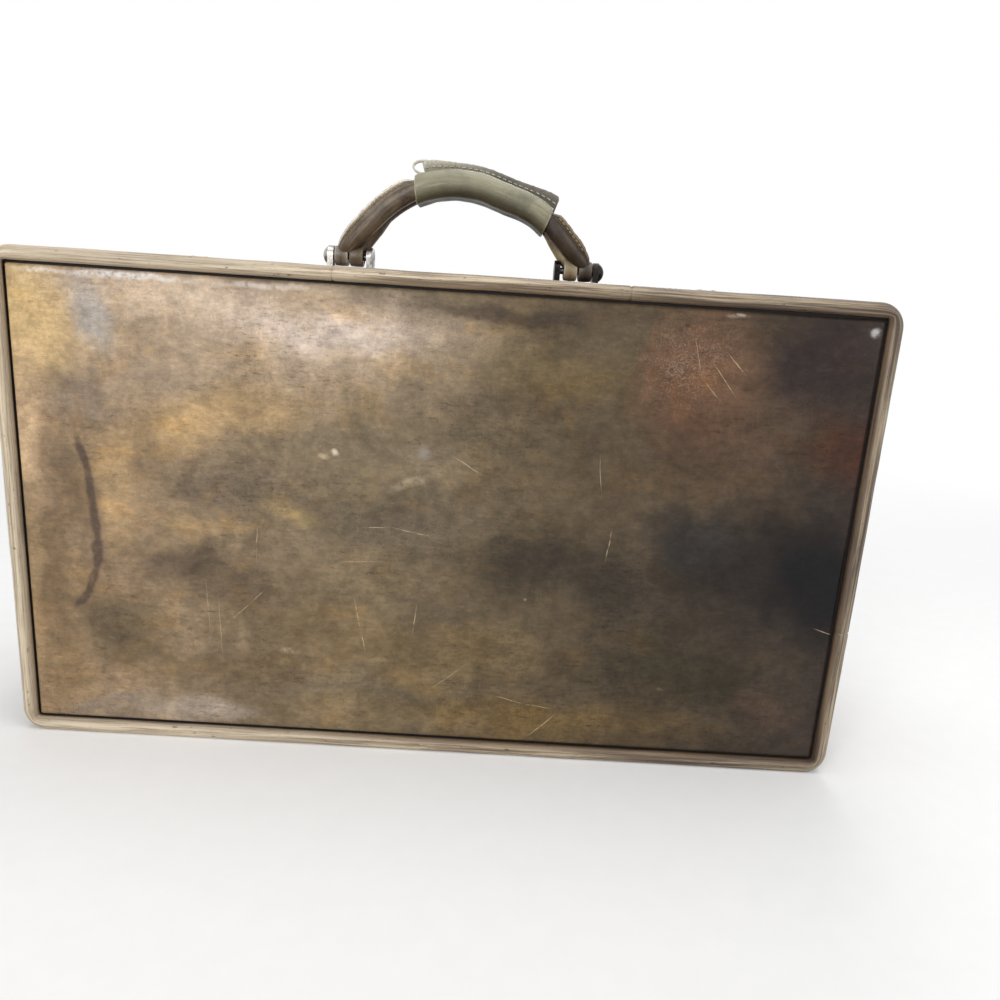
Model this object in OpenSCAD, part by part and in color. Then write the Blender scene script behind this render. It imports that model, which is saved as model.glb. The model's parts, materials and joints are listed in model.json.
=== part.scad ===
// Leather covered hard briefcase: two rigid halves closed at a metal rim, a rounded
// bead round each face, a padded panel set inside it, a rolled two strand handle,
// two snap latches, a long bottom hinge and a folding stay at each side.
// Millimetres. The case stands on its bottom, +Z up, with its face towards -Y and
// the origin under the middle of the case.

/* [Case] */
// Overall width across the beads
case_w = 499; // [440:1:560]
// Overall height across the beads
case_h = 287; // [250:1:340]
// Overall depth with the lid shut
case_d = 124; // [116:1:150]
// Depth of the front half, which is the lid
lid_d = 52; // [48:1:60]
// Outer radius of the case's corners
corner_r = 14; // [12:0.5:20]
// Gap between the two rims when shut
rim_gap = 0.4; // [0.3:0.1:1]

/* [Bead] */
// Width of the bead seen from the front
bead_w = 8; // [7:0.5:9]
// Depth of the bead from its crown to its flat back
bead_depth = 6.5; // [6:0.1:7]
// How far the bead stands out past the side covering
bead_proud = 2.5; // [2:0.1:3]
// Worn flat on the underside of the bead
wear_flat = 0.5; // [0.2:0.1:0.8]

/* [Panel] */
// Groove between the bead and the panel
groove_w = 1.5; // [0.6:0.1:2]
// Depth of the panel's edge behind the bead's crown
panel_recess = 3; // [2.5:0.1:3.8]
// Rise of the padding at the panel's middle
panel_crown = 2; // [0.5:0.1:2.4]
// Radius that rolls the panel's edge into the groove
panel_roll = 2.5; // [1:0.1:3]
// Corner radius of the panel
panel_corner_r = 3; // [2.5:0.1:4]

/* [Walls] */
// Thickness of the leather covering on the sides
cover_t = 1.6; // [1:0.1:2.5]
// Thickness of the wooden side walls
wall_t = 6; // [5:0.5:8]
// Thickness of the wooden face boards
board_t = 4; // [3:0.5:6]
// Thickness of the lining
lining_t = 1; // [0.6:0.1:1.5]
// Thickness of the metal rims
rim_t = 1.2; // [0.8:0.1:1.6]
// How far the base rim's tongue reaches into the lid
tongue_reach = 8; // [5:0.5:9]
// Thickness of the tongue
tongue_t = 1.2; // [0.8:0.1:1.5]
// Gap between the tongue and the lid's lining
tongue_gap = 0.6; // [0.4:0.1:1]

/* [Hinge] */
// Length of the hinge along the bottom
hinge_l = 430; // [300:1:430]
// Number of knuckles, an odd number
hinge_knuckles = 17; // [9:2:25]
// Outside diameter of the knuckles
knuckle_d = 4.6; // [4:0.1:4.8]
// Diameter of the hinge pin
hinge_pin_d = 2.4; // [1.8:0.1:2.8]
// Thickness of the hinge leaves
leaf_t = 0.9; // [0.6:0.1:1.1]
// Width of each leaf from the pin's centre
leaf_w = 14; // [10:0.5:18]
// Screws in each leaf
leaf_screws = 8; // [4:1:12]

/* [Handle] */
// Distance of the handle's pivot behind the rims' meeting plane
handle_back = 18; // [15:0.5:24]
// Distance of the handle's middle to the right of the case's middle
handle_shift = 4; // [0:0.5:6]
// Height of the pivot above the top covering
pivot_rise = 12; // [10.5:0.5:14]
// Radius of the arch to the middle of a strand
arch_r = 74.25; // [70:0.25:78]
// Height of the arch's crown above the pivot
arch_rise = 47; // [44:0.5:50]
// Diameter of a rolled strand
strand_d = 11.5; // [10.5:0.1:12]
// Diameter of a strand at its eye
strand_end_d = 7.4; // [6:0.1:7.8]
// Height of the stitched flange on a strand
flange_h = 3; // [2:0.1:4]
// Thickness of the stitched flange on a strand
flange_t = 2.6; // [2:0.1:3]
// Distance from the handle's middle to the outer eyes
outer_eye_x = 75.4; // [75:0.1:77]
// Distance from the outer eye to the inner eye
eye_pitch = 9.2; // [9:0.1:9.6]
// Thickness of an eye along the pin
eye_w = 7.4; // [6:0.1:7.6]
// Outside diameter of an eye
eye_d = 9.6; // [8:0.1:11]
// Diameter of the handle pins
handle_pin_d = 4; // [3:0.1:5]

/* [Grip] */
// Thickness of the grip's leather
grip_t = 2; // [1.5:0.1:3]
// Angle of arch that the grip covers
grip_angle = 66; // [50:1:70]
// Angle by which the grip has slid to the right along the arch
grip_slip = 10; // [0:0.5:12]
// Height of the seam that closes the grip
seam_h = 5.5; // [3:0.5:6]
// Thickness of the grip's seam
seam_t = 4.4; // [3:0.2:5]
// Angle by which the seam overhangs the grip's right end
seam_overhang = 4; // [0:0.5:6]

/* [Brackets] */
// Thickness of the bracket plates
bracket_t = 1.5; // [1:0.1:2]
// Width of the bracket plates from front to back
bracket_w = 18; // [14:0.5:20]
// Radius of the bracket's ears
ear_r = 6; // [5:0.1:6.5]
// Thickness of the bracket's ears
ear_t = 3.5; // [2.5:0.5:4]

/* [Latches] */
// Distance of each latch from the nearer side of the case
latch_side = 100; // [90:1:120]
// Width of the hasp
hasp_w = 20.4; // [16:0.2:22]
// Thickness of the hasp's sheet
hasp_t = 1.2; // [0.8:0.1:1.4]
// Radius of the hasp's crown across its width
hasp_crown_r = 40; // [36:1:80]
// Reach of the hasp in front of the rims' meeting plane
hasp_reach = 10; // [9:0.5:12]
// Distance of the hasp's pin behind the rims' meeting plane
hasp_pin_back = 23; // [22:0.5:24]
// Diameter of the hasp's pin
hasp_pin_d = 1.6; // [1.2:0.1:1.8]
// Travel of the sliding button
button_travel = 6; // [4:0.5:6]
// Thickness of the latch plates
latch_t = 1; // [0.8:0.1:1.1]

/* [Stays] */
// Height above the hinge of the stay's pin in the lid
lid_pin_up = 100; // [90:1:120]
// Distance of that pin in front of the rims' meeting plane
lid_pin_out = 13; // [12:0.5:16]
// Height above the hinge of the stay's pin in the base
base_pin_up = 26; // [24:0.5:32]
// Distance of that pin behind the rims' meeting plane
base_pin_back = 30; // [26:0.5:36]
// Width of a stay link
link_w = 8; // [7:0.5:10]
// Thickness of a stay link
link_t = 1.4; // [1:0.1:1.6]
// Diameter of the stay's pins
stay_pin_d = 4; // [3:0.1:4.4]

/* [Pocket] */
// Width of the document pocket
pocket_w = 400; // [300:1:400]
// Height of the document pocket
pocket_h = 190; // [150:1:200]
// Height of the pocket's bottom above the case's underside
pocket_z = 36; // [30:1:44]
// Free depth inside the pocket
pocket_gap = 8; // [6:0.5:10]
// Thickness of the pocket's leather
pocket_t = 1.4; // [1:0.1:2]
// Height of the band along the pocket's mouth
band_h = 18; // [12:1:24]

/* [Hidden] */

$fn = 48;

leather = "#8a6a3c";
dark_leather = "#5c4426";
grip_leather = "#8f8a62";
brass = "#b8964e";
steel = "#8d8f92";
wood = "#c9a877";
lining_cloth = "#7a5f48";

// Radial running clearance of a pin in a moving eye
run_clear = 0.05;
// Gap kept between pieces that move past each other
pass_gap = 0.3;
// Height of the hinge's barrel above the floor
floor_clear = 0.3;
// Extra diameter of a fixed hole over the pin that sits in it
seat_clear = 0.04;
// Overshoot of a cut past the face it opens
past = 1;

// Insets from the case's outline
cover_u = bead_proud;
wall_u = cover_u + cover_t;
lining_u = wall_u + wall_t;
inside_u = lining_u + lining_t;
tongue_u = inside_u + tongue_gap;
panel_u = bead_w + groove_w;

// Depths behind the crown of the bead
board_v = bead_depth;
frame_v = board_v + board_t;
inside_v = frame_v + lining_t;
base_d = case_d - lid_d;

// Planes and axes in the case's own frame
rim_y = lid_d - case_d / 2;
underside_z = -wear_flat;
top_z = case_h + underside_z - cover_u;
knuckle_r = knuckle_d / 2;
hinge_z = knuckle_r + floor_clear;
relief_r = knuckle_r + 0.5;
// Height above the hinge's axis up to which the rims' lower edges are cut away
rim_turn = 0.9;
latch_x = case_w / 2 - latch_side;
pivot_y = rim_y + handle_back;
pivot_z = top_z + pivot_rise;

// Rounded rectangle of the case's outline, moved inwards by inset
module outline(inset, r = 0) {
    w = case_w - 2 * inset;
    h = case_h - 2 * inset;
    radius = r > 0 ? r : max(corner_r - inset, 1);
    translate([0, case_h / 2]) union() {
        square([w - 2 * radius, h], center = true);
        square([w, h - 2 * radius], center = true);
        for (sx = [-1, 1], sy = [-1, 1]) {
            translate([sx * (w / 2 - radius), sy * (h / 2 - radius)]) circle(radius);
        }
    }
}

// Slab of the outline between two depths
module slab(inset, v0, v1) {
    translate([0, 0, v0]) linear_extrude(v1 - v0) outline(inset);
}

// Wall that follows the outline between two insets and two depths
module band(inset0, inset1, v0, v1) {
    translate([0, 0, v0]) linear_extrude(v1 - v0) difference() {
        outline(inset0);
        outline(inset1);
    }
}

// A half lies on its face while it is made: X is the width, Y the height, Z the depth
module stand_base() {
    translate([0, case_d / 2, underside_z]) rotate([90, 0, 0]) children();
}

module stand_lid() {
    mirror([0, 1, 0]) stand_base() children();
}

// Room for the hinge's barrel where the two bottom walls meet
module hinge_relief() {
    on_hinge_axis() cylinder(r = relief_r, h = hinge_l + 2 * pass_gap, center = true);
}

// Room beyond the barrel's ends for the rims' lower edges to turn past each other
module rim_relief() {
    depth = rim_gap + 2 * (rim_t + past);
    translate([-case_w / 2, rim_y - depth / 2, 0]) cube([case_w, depth, hinge_z + rim_turn]);
}

// The bead's section: a round bead with a flat back, in inset and depth
module bead_section() {
    intersection() {
        translate([bead_w / 2, bead_w / 2]) circle(d = bead_w);
        square([bead_w, bead_depth]);
    }
}

module bead_run(length) {
    rotate([90, 0, 90]) linear_extrude(length, center = true) bead_section();
}

module bead_corner() {
    rotate_extrude(angle = 90) translate([corner_r, 0]) mirror([1, 0]) bead_section();
}

module bead() {
    run_x = case_w - 2 * corner_r;
    run_y = case_h - 2 * corner_r;
    difference() {
        union() {
            bead_run(run_x);
            translate([0, case_h, 0]) mirror([0, 1, 0]) bead_run(run_x);
            for (sx = [-1, 1]) {
                translate([sx * case_w / 2, case_h / 2, 0]) rotate([0, 0, sx * 90]) bead_run(run_y);
            }
            translate([run_x / 2, case_h - corner_r, 0]) bead_corner();
            translate([-run_x / 2, case_h - corner_r, 0]) rotate([0, 0, 90]) bead_corner();
            translate([-run_x / 2, corner_r, 0]) rotate([0, 0, 180]) bead_corner();
            translate([run_x / 2, corner_r, 0]) rotate([0, 0, 270]) bead_corner();
        }
        translate([-case_w / 2, wear_flat - bead_w, -past]) cube([case_w, bead_w, bead_w]);
    }
}

// Padded panel: rings of the panel's outline, each one further in and a little prouder.
// The edge rolls over a quarter circle and the padding then swells towards the middle.
// Distance over which the padding swells
pad_reach = 28;
// Rings, counted in roll radii up to one and in padding reaches beyond it
pad_steps = [0, 0.08, 0.3, 0.7, 1.3, 2.2, 3.4, 4.4];
// Steps round each of the panel's corners
corner_steps = 4;
// Least corner radius of an inner ring
ring_min_r = 0.4;

function roll_drop(e) = e < panel_roll ? panel_roll - sqrt(panel_roll ^ 2 - (panel_roll - e) ^ 2) : 0;
function panel_v(e) = panel_recess + roll_drop(e) - panel_crown * (1 - exp(-e / pad_reach));
function panel_ring(e, v) = [
    for (c = [0:3], s = [0:corner_steps])
        let (
            r = max(panel_corner_r - e, ring_min_r),
            a = 90 * c + 90 * s / corner_steps,
            sx = c == 0 || c == 3 ? 1 : -1,
            sy = c < 2 ? 1 : -1,
            w = case_w / 2 - panel_u - e - r,
            h = case_h / 2 - panel_u - e - r
        )
        [sx * w + r * cos(a), case_h / 2 + sy * h + r * sin(a), v]
];

module padded_panel() {
    insets = [for (s = pad_steps) s < 1 ? s * panel_roll : panel_roll + (s - 1) * pad_reach];
    rings = concat([panel_ring(0, board_v)], [for (e = insets) panel_ring(e, panel_v(e))]);
    n = 4 * (corner_steps + 1);
    last = len(rings) - 1;
    points = [for (ring = rings) each ring];
    sides = [
        for (k = [0:last - 1], i = [0:n - 1])
            let (a = k * n + i, b = k * n + (i + 1) % n)
            each [[b + n, b, a], [a + n, b + n, a]]
    ];
    back = [[for (i = [0:n - 1]) i]];
    front = [[for (i = [n - 1:-1:0]) last * n + i]];
    polyhedron(points = points, faces = concat(sides, back, front), convexity = 4);
}

// One half of the case, of the given depth
module half_frame(depth) {
    difference() {
        band(wall_u, lining_u, frame_v, depth - rim_gap / 2 - rim_t);
        children();
    }
}

module half_cover(depth) {
    difference() {
        band(cover_u, wall_u, board_v, depth - rim_gap / 2 - rim_t);
        children();
    }
}

module half_board() {
    slab(wall_u, board_v, frame_v);
}

module half_lining(depth) {
    slab(lining_u, frame_v, inside_v);
    band(lining_u, inside_u, inside_v, depth - rim_gap / 2 - rim_t);
}

// Flat metal ring that caps a half's walls at the meeting plane
module rim_ring(depth, inner_u) {
    band(cover_u, inner_u, depth - rim_gap / 2 - rim_t, depth - rim_gap / 2);
}

module base_frame() {
    color(wood) difference() {
        stand_base() half_frame(base_d);
        hinge_relief();
    }
}

module back_board() {
    color(wood) stand_base() half_board();
}

module base_cover() {
    color(leather) difference() {
        stand_base() half_cover(base_d);
        hinge_relief();
    }
}

module back_panel() {
    color(leather) stand_base() padded_panel();
}

module back_bead() {
    color(dark_leather) stand_base() bead();
}

module base_lining() {
    color(lining_cloth) stand_base() half_lining(base_d);
}

// The base's rim carries a tongue that steps inside the lid at the top and sides
module base_rim() {
    tongue_foot = inside_u + lining_t + knuckle_d;
    color(brass) difference() {
        stand_base() {
            rim_ring(base_d, tongue_u + tongue_t);
            difference() {
                band(tongue_u, tongue_u + tongue_t, base_d - rim_gap / 2 - rim_t, base_d + tongue_reach);
                translate([-case_w / 2, 0, base_d - rim_gap / 2]) {
                    cube([case_w, tongue_foot, tongue_reach + past]);
                }
            }
        }
        hinge_relief();
        rim_relief();
    }
}

module lid_frame() {
    color(wood) difference() {
        stand_lid() half_frame(lid_d);
        hinge_relief();
    }
}

module front_board() {
    color(wood) stand_lid() half_board();
}

module lid_cover() {
    color(leather) difference() {
        stand_lid() half_cover(lid_d);
        hinge_relief();
    }
}

module front_panel() {
    color(leather) stand_lid() padded_panel();
}

module front_bead() {
    color(dark_leather) stand_lid() bead();
}

module lid_lining() {
    color(lining_cloth) stand_lid() half_lining(lid_d);
}

module lid_rim() {
    color(brass) difference() {
        stand_lid() rim_ring(lid_d, inside_u);
        hinge_relief();
        rim_relief();
    }
}

// Hinge along the bottom: even knuckles on one leaf, odd ones on the other
knuckle_pitch = hinge_l / hinge_knuckles;
// Gap between neighbouring knuckles
knuckle_gap = 0.3;
// Overlap of a leaf's flat part with the relief it ends at
leaf_tuck = 0.1;

module on_hinge_axis() {
    translate([0, rim_y, hinge_z]) rotate([0, 90, 0]) children();
}

// Leaf with every second knuckle, first = 0 or 1, side = 1 behind the axis, -1 in front
module hinge_leaf(first, side) {
    leaf_z = underside_z + cover_u - leaf_t;
    near = relief_r - leaf_tuck;
    difference() {
        union() {
            translate([-hinge_l / 2, rim_y + (side > 0 ? near : -leaf_w), leaf_z]) {
                cube([hinge_l, leaf_w - near, leaf_t]);
            }
            for (k = [first:2:hinge_knuckles - 1]) {
                x0 = -hinge_l / 2 + k * knuckle_pitch + knuckle_gap / 2;
                w = knuckle_pitch - knuckle_gap;
                translate([x0, rim_y, hinge_z]) rotate([0, 90, 0]) cylinder(d = knuckle_d, h = w);
                translate([x0, rim_y + (side > 0 ? 0 : -leaf_w), leaf_z]) cube([w, leaf_w, leaf_t]);
            }
        }
        on_hinge_axis() cylinder(d = hinge_pin_d + 2 * run_clear, h = hinge_l + 2 * past, center = true);
    }
}

module hinge_leaf_base() {
    color(brass) hinge_leaf(1, 1);
}

module hinge_leaf_lid() {
    color(brass) hinge_leaf(0, -1);
}

module hinge_pin() {
    color(steel) on_hinge_axis() cylinder(d = hinge_pin_d, h = hinge_l, center = true);
}

// Domed head of a rivet or screw, flat side at z = 0, its top worn flat by worn
module dome_head(d, h, worn = 0) {
    sphere_r = (d * d / 4 + h * h) / (2 * h);
    rotate_extrude() intersection() {
        translate([0, h - sphere_r]) circle(sphere_r);
        square([d / 2, h - worn]);
    }
}

// Heads of the hinge's screws
screw_d = 4.6;
screw_h = 0.9;

module hinge_screws(side) {
    pitch = hinge_l / leaf_screws;
    for (k = [0:leaf_screws - 1]) {
        translate([
            -hinge_l / 2 + (k + 0.5) * pitch,
            rim_y + side * (leaf_w + relief_r) / 2,
            underside_z + cover_u - leaf_t
        ]) mirror([0, 0, 1]) dome_head(screw_d, screw_h);
    }
}

module hinge_screws_base() {
    color(brass) hinge_screws(1);
}

module hinge_screws_lid() {
    color(brass) hinge_screws(-1);
}

// Handle. Each strand is a rolled tube with a stitched flange, swept along an arch:
// a circular crown, then a curve that runs down to the strand's own eye on the pin.
// The two strands lie side by side in the grip and stand side by side on the pin.
// Gap between the strands under the grip
strand_gap = 0.7;
strand_side = (strand_d + strand_gap) / 2;
arch_z = pivot_z + arch_rise - arch_r;
// Length of the metal neck between an eye and its strand
neck_l = 9;
// Rings of a strand along half its crown and along a leg
crown_rings = 12;
leg_rings = 13;
// Points round a strand's roll
roll_points = 13;
// Sideways share of the direction in which a strand leaves its eye
eye_splay = 0.35;
// Share of a leg that runs before its taper starts
taper_start = 0.25;
// Angle over which a flange rises, one ring of the crown away from the grip
flange_run = 2.5;

// Lengths by which a leg's curve keeps its way past the crown and above the eye
front_pull = [7, 6];
rear_pull = [6, 6];

// Per strand: [side in Y, eye X, angle where the crown ends, pull lengths, slope at the eye]
front_strand = [-1, outer_eye_x, 50, front_pull, 65];
rear_strand = [1, outer_eye_x - eye_pitch, 45, rear_pull, 65];

function unit(v) = v / norm(v);
function arch_point(s, a) = [arch_r * sin(a), pivot_y + s[0] * strand_side, arch_z + arch_r * cos(a)];
function eye_point(s) = [s[1], pivot_y, pivot_z];
function eye_dir(s) = unit([-cos(s[4]), s[0] * eye_splay, sin(s[4])]);
function leg_point(s, t) =
    let (
        p0 = arch_point(s, s[2]),
        p1 = p0 + s[3][0] * [cos(s[2]), 0, -sin(s[2])],
        p3 = eye_point(s) + neck_l * eye_dir(s),
        p2 = p3 + s[3][1] * eye_dir(s)
    )
    (1 - t) ^ 3 * p0 + 3 * (1 - t) ^ 2 * t * p1 + 3 * (1 - t) * t ^ 2 * p2 + t ^ 3 * p3;

function leg_taper(t) = max(0, (t - taper_start) / (1 - taper_start));

// The right half of a strand from the crown down, as [point, share of the taper]
function half_path(s) = concat(
    [for (k = [0:crown_rings - 1]) [arch_point(s, s[2] * k / crown_rings), 0]],
    [for (k = [0:leg_rings]) let (t = k / leg_rings) [leg_point(s, t), leg_taper(t)]]
);
function flip(p) = [-p[0], p[1], p[2]];
function whole_path(s) =
    let (h = half_path(s), n = len(h))
    concat([for (k = [n - 1:-1:1]) [flip(h[k][0]), h[k][1]]], h);

// Rolled section: two corners of the flange, then the roll from one side of it to the other
function roll_section(r, rise) =
    let (
        half = min(flange_t / 2, 0.6 * r),
        a0 = asin(half / r),
        step = (360 - 2 * a0) / (roll_points - 1)
    )
    concat(
        [[r + rise, -half], [r + rise, half]],
        [for (k = [0:roll_points - 1]) r * [cos(a0 + k * step), sin(a0 + k * step)]]
    );

grip_from = grip_slip - grip_angle / 2;
grip_to = grip_slip + grip_angle / 2;

// The flange is pressed flat under the grip and fades out towards the eyes
function flange_rise(p, taper, ring_angle) =
    let (
        a = atan2(p[0], p[2] - arch_z),
        out = max(grip_from - a, a - grip_to) - ring_angle,
        beside_grip = min(1, max(0, out / flange_run)),
        above_eye = min(1, max(0, (0.9 - taper) / 0.35))
    )
    max(0.05, flange_h * beside_grip * above_eye);

// Direction of a strand at ring k of its path
function path_dir(s, path, k) =
    let (n = len(path), e = eye_dir(s))
    k == 0 ? [-e[0], e[1], e[2]] : k == n - 1 ? -e : unit(path[k + 1][0] - path[k - 1][0]);

// Strand swept along its path, its flange leaning by an angle away from the arch's plane
module strand(s, lean) {
    path = whole_path(s);
    n = len(path);
    m = roll_points + 2;
    points = [
        for (k = [0:n - 1])
            let (
                p = path[k][0],
                taper = path[k][1],
                dir = path_dir(s, path, k),
                outward = unit([p[0], 0, p[2] - arch_z]),
                lean_dir = cos(lean) * outward + [0, s[0] * sin(lean), 0],
                o = unit(lean_dir - (lean_dir * dir) * dir),
                b = cross(dir, o),
                r = (strand_d + (strand_end_d - strand_d) * taper) / 2
            )
            for (q = roll_section(r, flange_rise(p, taper, s[2] / crown_rings))) p + q[0] * o + q[1] * b
    ];
    sides = [
        for (k = [0:n - 2], i = [0:m - 1])
            let (a = k * m + i, b = k * m + (i + 1) % m)
            each [[b + m, b, a], [a + m, b + m, a]]
    ];
    start = [[for (i = [0:m - 1]) i]];
    finish = [[for (i = [m - 1:-1:0]) (n - 1) * m + i]];
    polyhedron(points = points, faces = concat(sides, start, finish), convexity = 6);
}

// Lean of the flanges of the front and the rear strand
front_lean = 30;
rear_lean = 55;

// Everything of the handle is laid out about its own middle and then moved here
module at_handle() {
    translate([handle_shift, 0, 0]) children();
}

module handle_strand_front() {
    color(leather) at_handle() strand(front_strand, front_lean);
}

module handle_strand_rear() {
    color(leather) at_handle() strand(rear_strand, rear_lean);
}

// Section of the sleeve that holds both strands, centred on the arch, X outwards
module sleeve_section(grow) {
    r = strand_d / 2 + grow;
    for (side = [-1, 1]) {
        translate([arch_r, side * strand_side]) circle(r);
    }
    translate([arch_r - r, -strand_side]) square([2 * r, 2 * strand_side]);
}

// Gap between the strands and the grip
grip_fit = 0.35;
// Depth by which the seam stands in the sleeve
seam_root = 0.4;

// Turn of the arch's own plane, angles counted from the crown towards +X
module along_arch(from, to) {
    translate([0, pivot_y, arch_z]) rotate([90, 0, 0]) rotate([0, 0, 90 - to]) {
        rotate_extrude(angle = to - from) children();
    }
}

// Sleeve of leather round both strands, its edges sewn into a seam along the top
module grip_wrap() {
    outer_r = strand_d / 2 + grip_fit + grip_t;
    color(grip_leather) at_handle() {
        along_arch(grip_from, grip_to) difference() {
            sleeve_section(grip_fit + grip_t);
            sleeve_section(grip_fit);
        }
        along_arch(grip_from, grip_to + seam_overhang) {
            translate([arch_r + outer_r - seam_root, -seam_t / 2]) square([seam_h + seam_root, seam_t]);
        }
    }
}

// How much thinner an eye's neck is than the strand's end
neck_step = 2.4;

// Eye on the pin with a neck that runs up to its strand's end
module handle_eye(s) {
    eye = eye_point(s);
    dir = eye_dir(s);
    difference() {
        union() {
            translate(eye) rotate([0, 90, 0]) cylinder(d = eye_d, h = eye_w, center = true);
            translate(eye) rotate([0, acos(dir[2]), atan2(dir[1], dir[0])]) {
                cylinder(d = strand_end_d - neck_step, h = neck_l);
            }
        }
        translate(eye) rotate([0, 90, 0]) {
            cylinder(d = handle_pin_d + 2 * run_clear, h = 3 * eye_w, center = true);
        }
    }
}

module handle_eye_pair() {
    handle_eye(front_strand);
    handle_eye(rear_strand);
}

module handle_eyes_right() {
    color(steel) at_handle() handle_eye_pair();
}

module handle_eyes_left() {
    color(steel) at_handle() mirror([1, 0, 0]) handle_eye_pair();
}

// Bracket on the top: a plate with an inner ear and a domed outer ear
eye_play = 1;
// Wider play on the inner side, where the rear strand's neck leans over the ear
neck_play = 2.8;
inner_ear_x = outer_eye_x - eye_pitch - eye_w / 2 - neck_play;
outer_ear_x = outer_eye_x + eye_w / 2 + eye_play;
// Reach of the plate past the ears, inwards and outwards
plate_inward = 5;
plate_outward = 9;
bracket_x0 = inner_ear_x - ear_t - plate_inward;
bracket_x1 = outer_ear_x + ear_t + plate_outward;
bracket_corner_r = 4;
// Height of the dome on the outer ear, the step left round it and the flat worn on it
ear_dome_h = 3.5;
ear_dome_step = 0.3;
ear_dome_wear = 0.1;
pin_l = outer_ear_x - inner_ear_x + 2 * ear_t;
// Rivets of the bracket plates
bracket_rivet_d = 3.6;
bracket_rivet_h = 1;
rivet_edge = 2.5;

module bracket_ear(x) {
    translate([x, pivot_y, pivot_z]) rotate([0, 90, 0]) cylinder(r = ear_r, h = ear_t);
    translate([x, pivot_y - ear_r, top_z]) cube([ear_t, 2 * ear_r, pivot_rise]);
}

module handle_bracket() {
    half_w = bracket_w / 2;
    difference() {
        union() {
            translate([0, pivot_y, top_z]) {
                rounded_plate(bracket_x0, bracket_x1, -half_w, half_w, bracket_corner_r, bracket_t);
            }
            bracket_ear(inner_ear_x - ear_t);
            bracket_ear(outer_ear_x);
            translate([outer_ear_x + ear_t, pivot_y, pivot_z]) rotate([0, 90, 0]) {
                dome_head(2 * (ear_r - ear_dome_step), ear_dome_h, ear_dome_wear);
            }
        }
        translate([inner_ear_x - ear_t - past, pivot_y, pivot_z]) rotate([0, 90, 0]) {
            cylinder(d = handle_pin_d + seat_clear, h = pin_l + past);
        }
    }
}

module handle_bracket_right() {
    color(steel) at_handle() handle_bracket();
}

module handle_bracket_left() {
    color(steel) at_handle() mirror([1, 0, 0]) handle_bracket();
}

module handle_pin() {
    translate([inner_ear_x - ear_t, pivot_y, pivot_z]) rotate([0, 90, 0]) {
        cylinder(d = handle_pin_d, h = pin_l);
    }
}

module handle_pin_right() {
    color(steel) at_handle() handle_pin();
}

module handle_pin_left() {
    color(steel) at_handle() mirror([1, 0, 0]) handle_pin();
}

module bracket_rivets() {
    rows = [bracket_x0 + rivet_edge, bracket_x1 - rivet_edge];
    rivet_y = bracket_w / 2 - bracket_corner_r;
    color(steel) at_handle() for (side = [-1, 1], x = rows, sy = [-1, 1]) {
        translate([side * x, pivot_y + sy * rivet_y, top_z + bracket_t]) {
            dome_head(bracket_rivet_d, bracket_rivet_h);
        }
    }
}

// Latch. X runs outwards from the latch's middle, Y back from the meeting plane,
// Z up from the top covering.
hasp_barrel_d = 3.6;
// Height of the hasp's barrel and of its side edges above the plate
barrel_lift = 0.4;
edge_lift = 1.5;
hasp_pin_z = latch_t + barrel_lift + hasp_barrel_d / 2;
hasp_edge_z = latch_t + edge_lift;
// Ears that hold the hasp's pin
ear_gap = 0.4;
latch_ear_t = 1.8;
latch_ear_w = hasp_barrel_d + barrel_lift;
latch_ear_x = hasp_w / 2 + ear_gap;
// Plate under the hasp and its housing
plate_margin = 0.6;
plate_wing = 20;
plate_in = latch_ear_x + latch_ear_t + plate_margin;
plate_out = plate_in + plate_wing;
plate_y0 = 1;
plate_tail = 4;
plate_y1 = hasp_pin_back + plate_tail;
plate_r = 2;
// Housing of the sliding button
housing_edge = 1;
housing_x0 = plate_in + barrel_lift / 2;
housing_x1 = plate_out - housing_edge;
housing_y0 = 6;
housing_y1 = 19;
housing_t = 0.8;
housing_h = 3;
housing_mid = (housing_y0 + housing_y1) / 2;
// Sliding button: its stem, its ridged knob and the tongue towards the hasp
button_w = 3.6;
button_room = 2;
button_x = housing_x0 + housing_t + button_room;
carriage_edge = 1;
tongue_w = 6;
knob_w = 7;
knob_t = 0.6;
ridge_pitch = 1.2;
ridge_w = 0.6;
ridge_h = 0.5;
ridge_edge = 1;
// The hasp's fork and the roundness of its nose
fork_w = 6.4;
fork_y = -3.5;
nose_r = 5;
// The catch on the lid: half width, reach behind the hasp's nose and its tooth
catch_half_w = 12;
catch_reach = 7;
catch_y1 = -1.5;
catch_r = 3;
tooth = [5, 2.5, 3.2];
tooth_back = 3;
// Rivets of the latches and catches
latch_rivet_d = 2.8;
latch_rivet_h = 0.7;
latch_rivet_edge = 3;
latch_rivet_y = 3.7;

module at_latch(side) {
    translate([side * latch_x, rim_y, top_z]) mirror([side < 0 ? 1 : 0, 0, 0]) children();
}

module rounded_plate(x0, x1, y0, y1, r, h) {
    linear_extrude(h) union() {
        translate([x0 + r, y0]) square([x1 - x0 - 2 * r, y1 - y0]);
        translate([x0, y0 + r]) square([x1 - x0, y1 - y0 - 2 * r]);
        for (x = [x0 + r, x1 - r], y = [y0 + r, y1 - r]) translate([x, y]) circle(r);
    }
}

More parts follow.
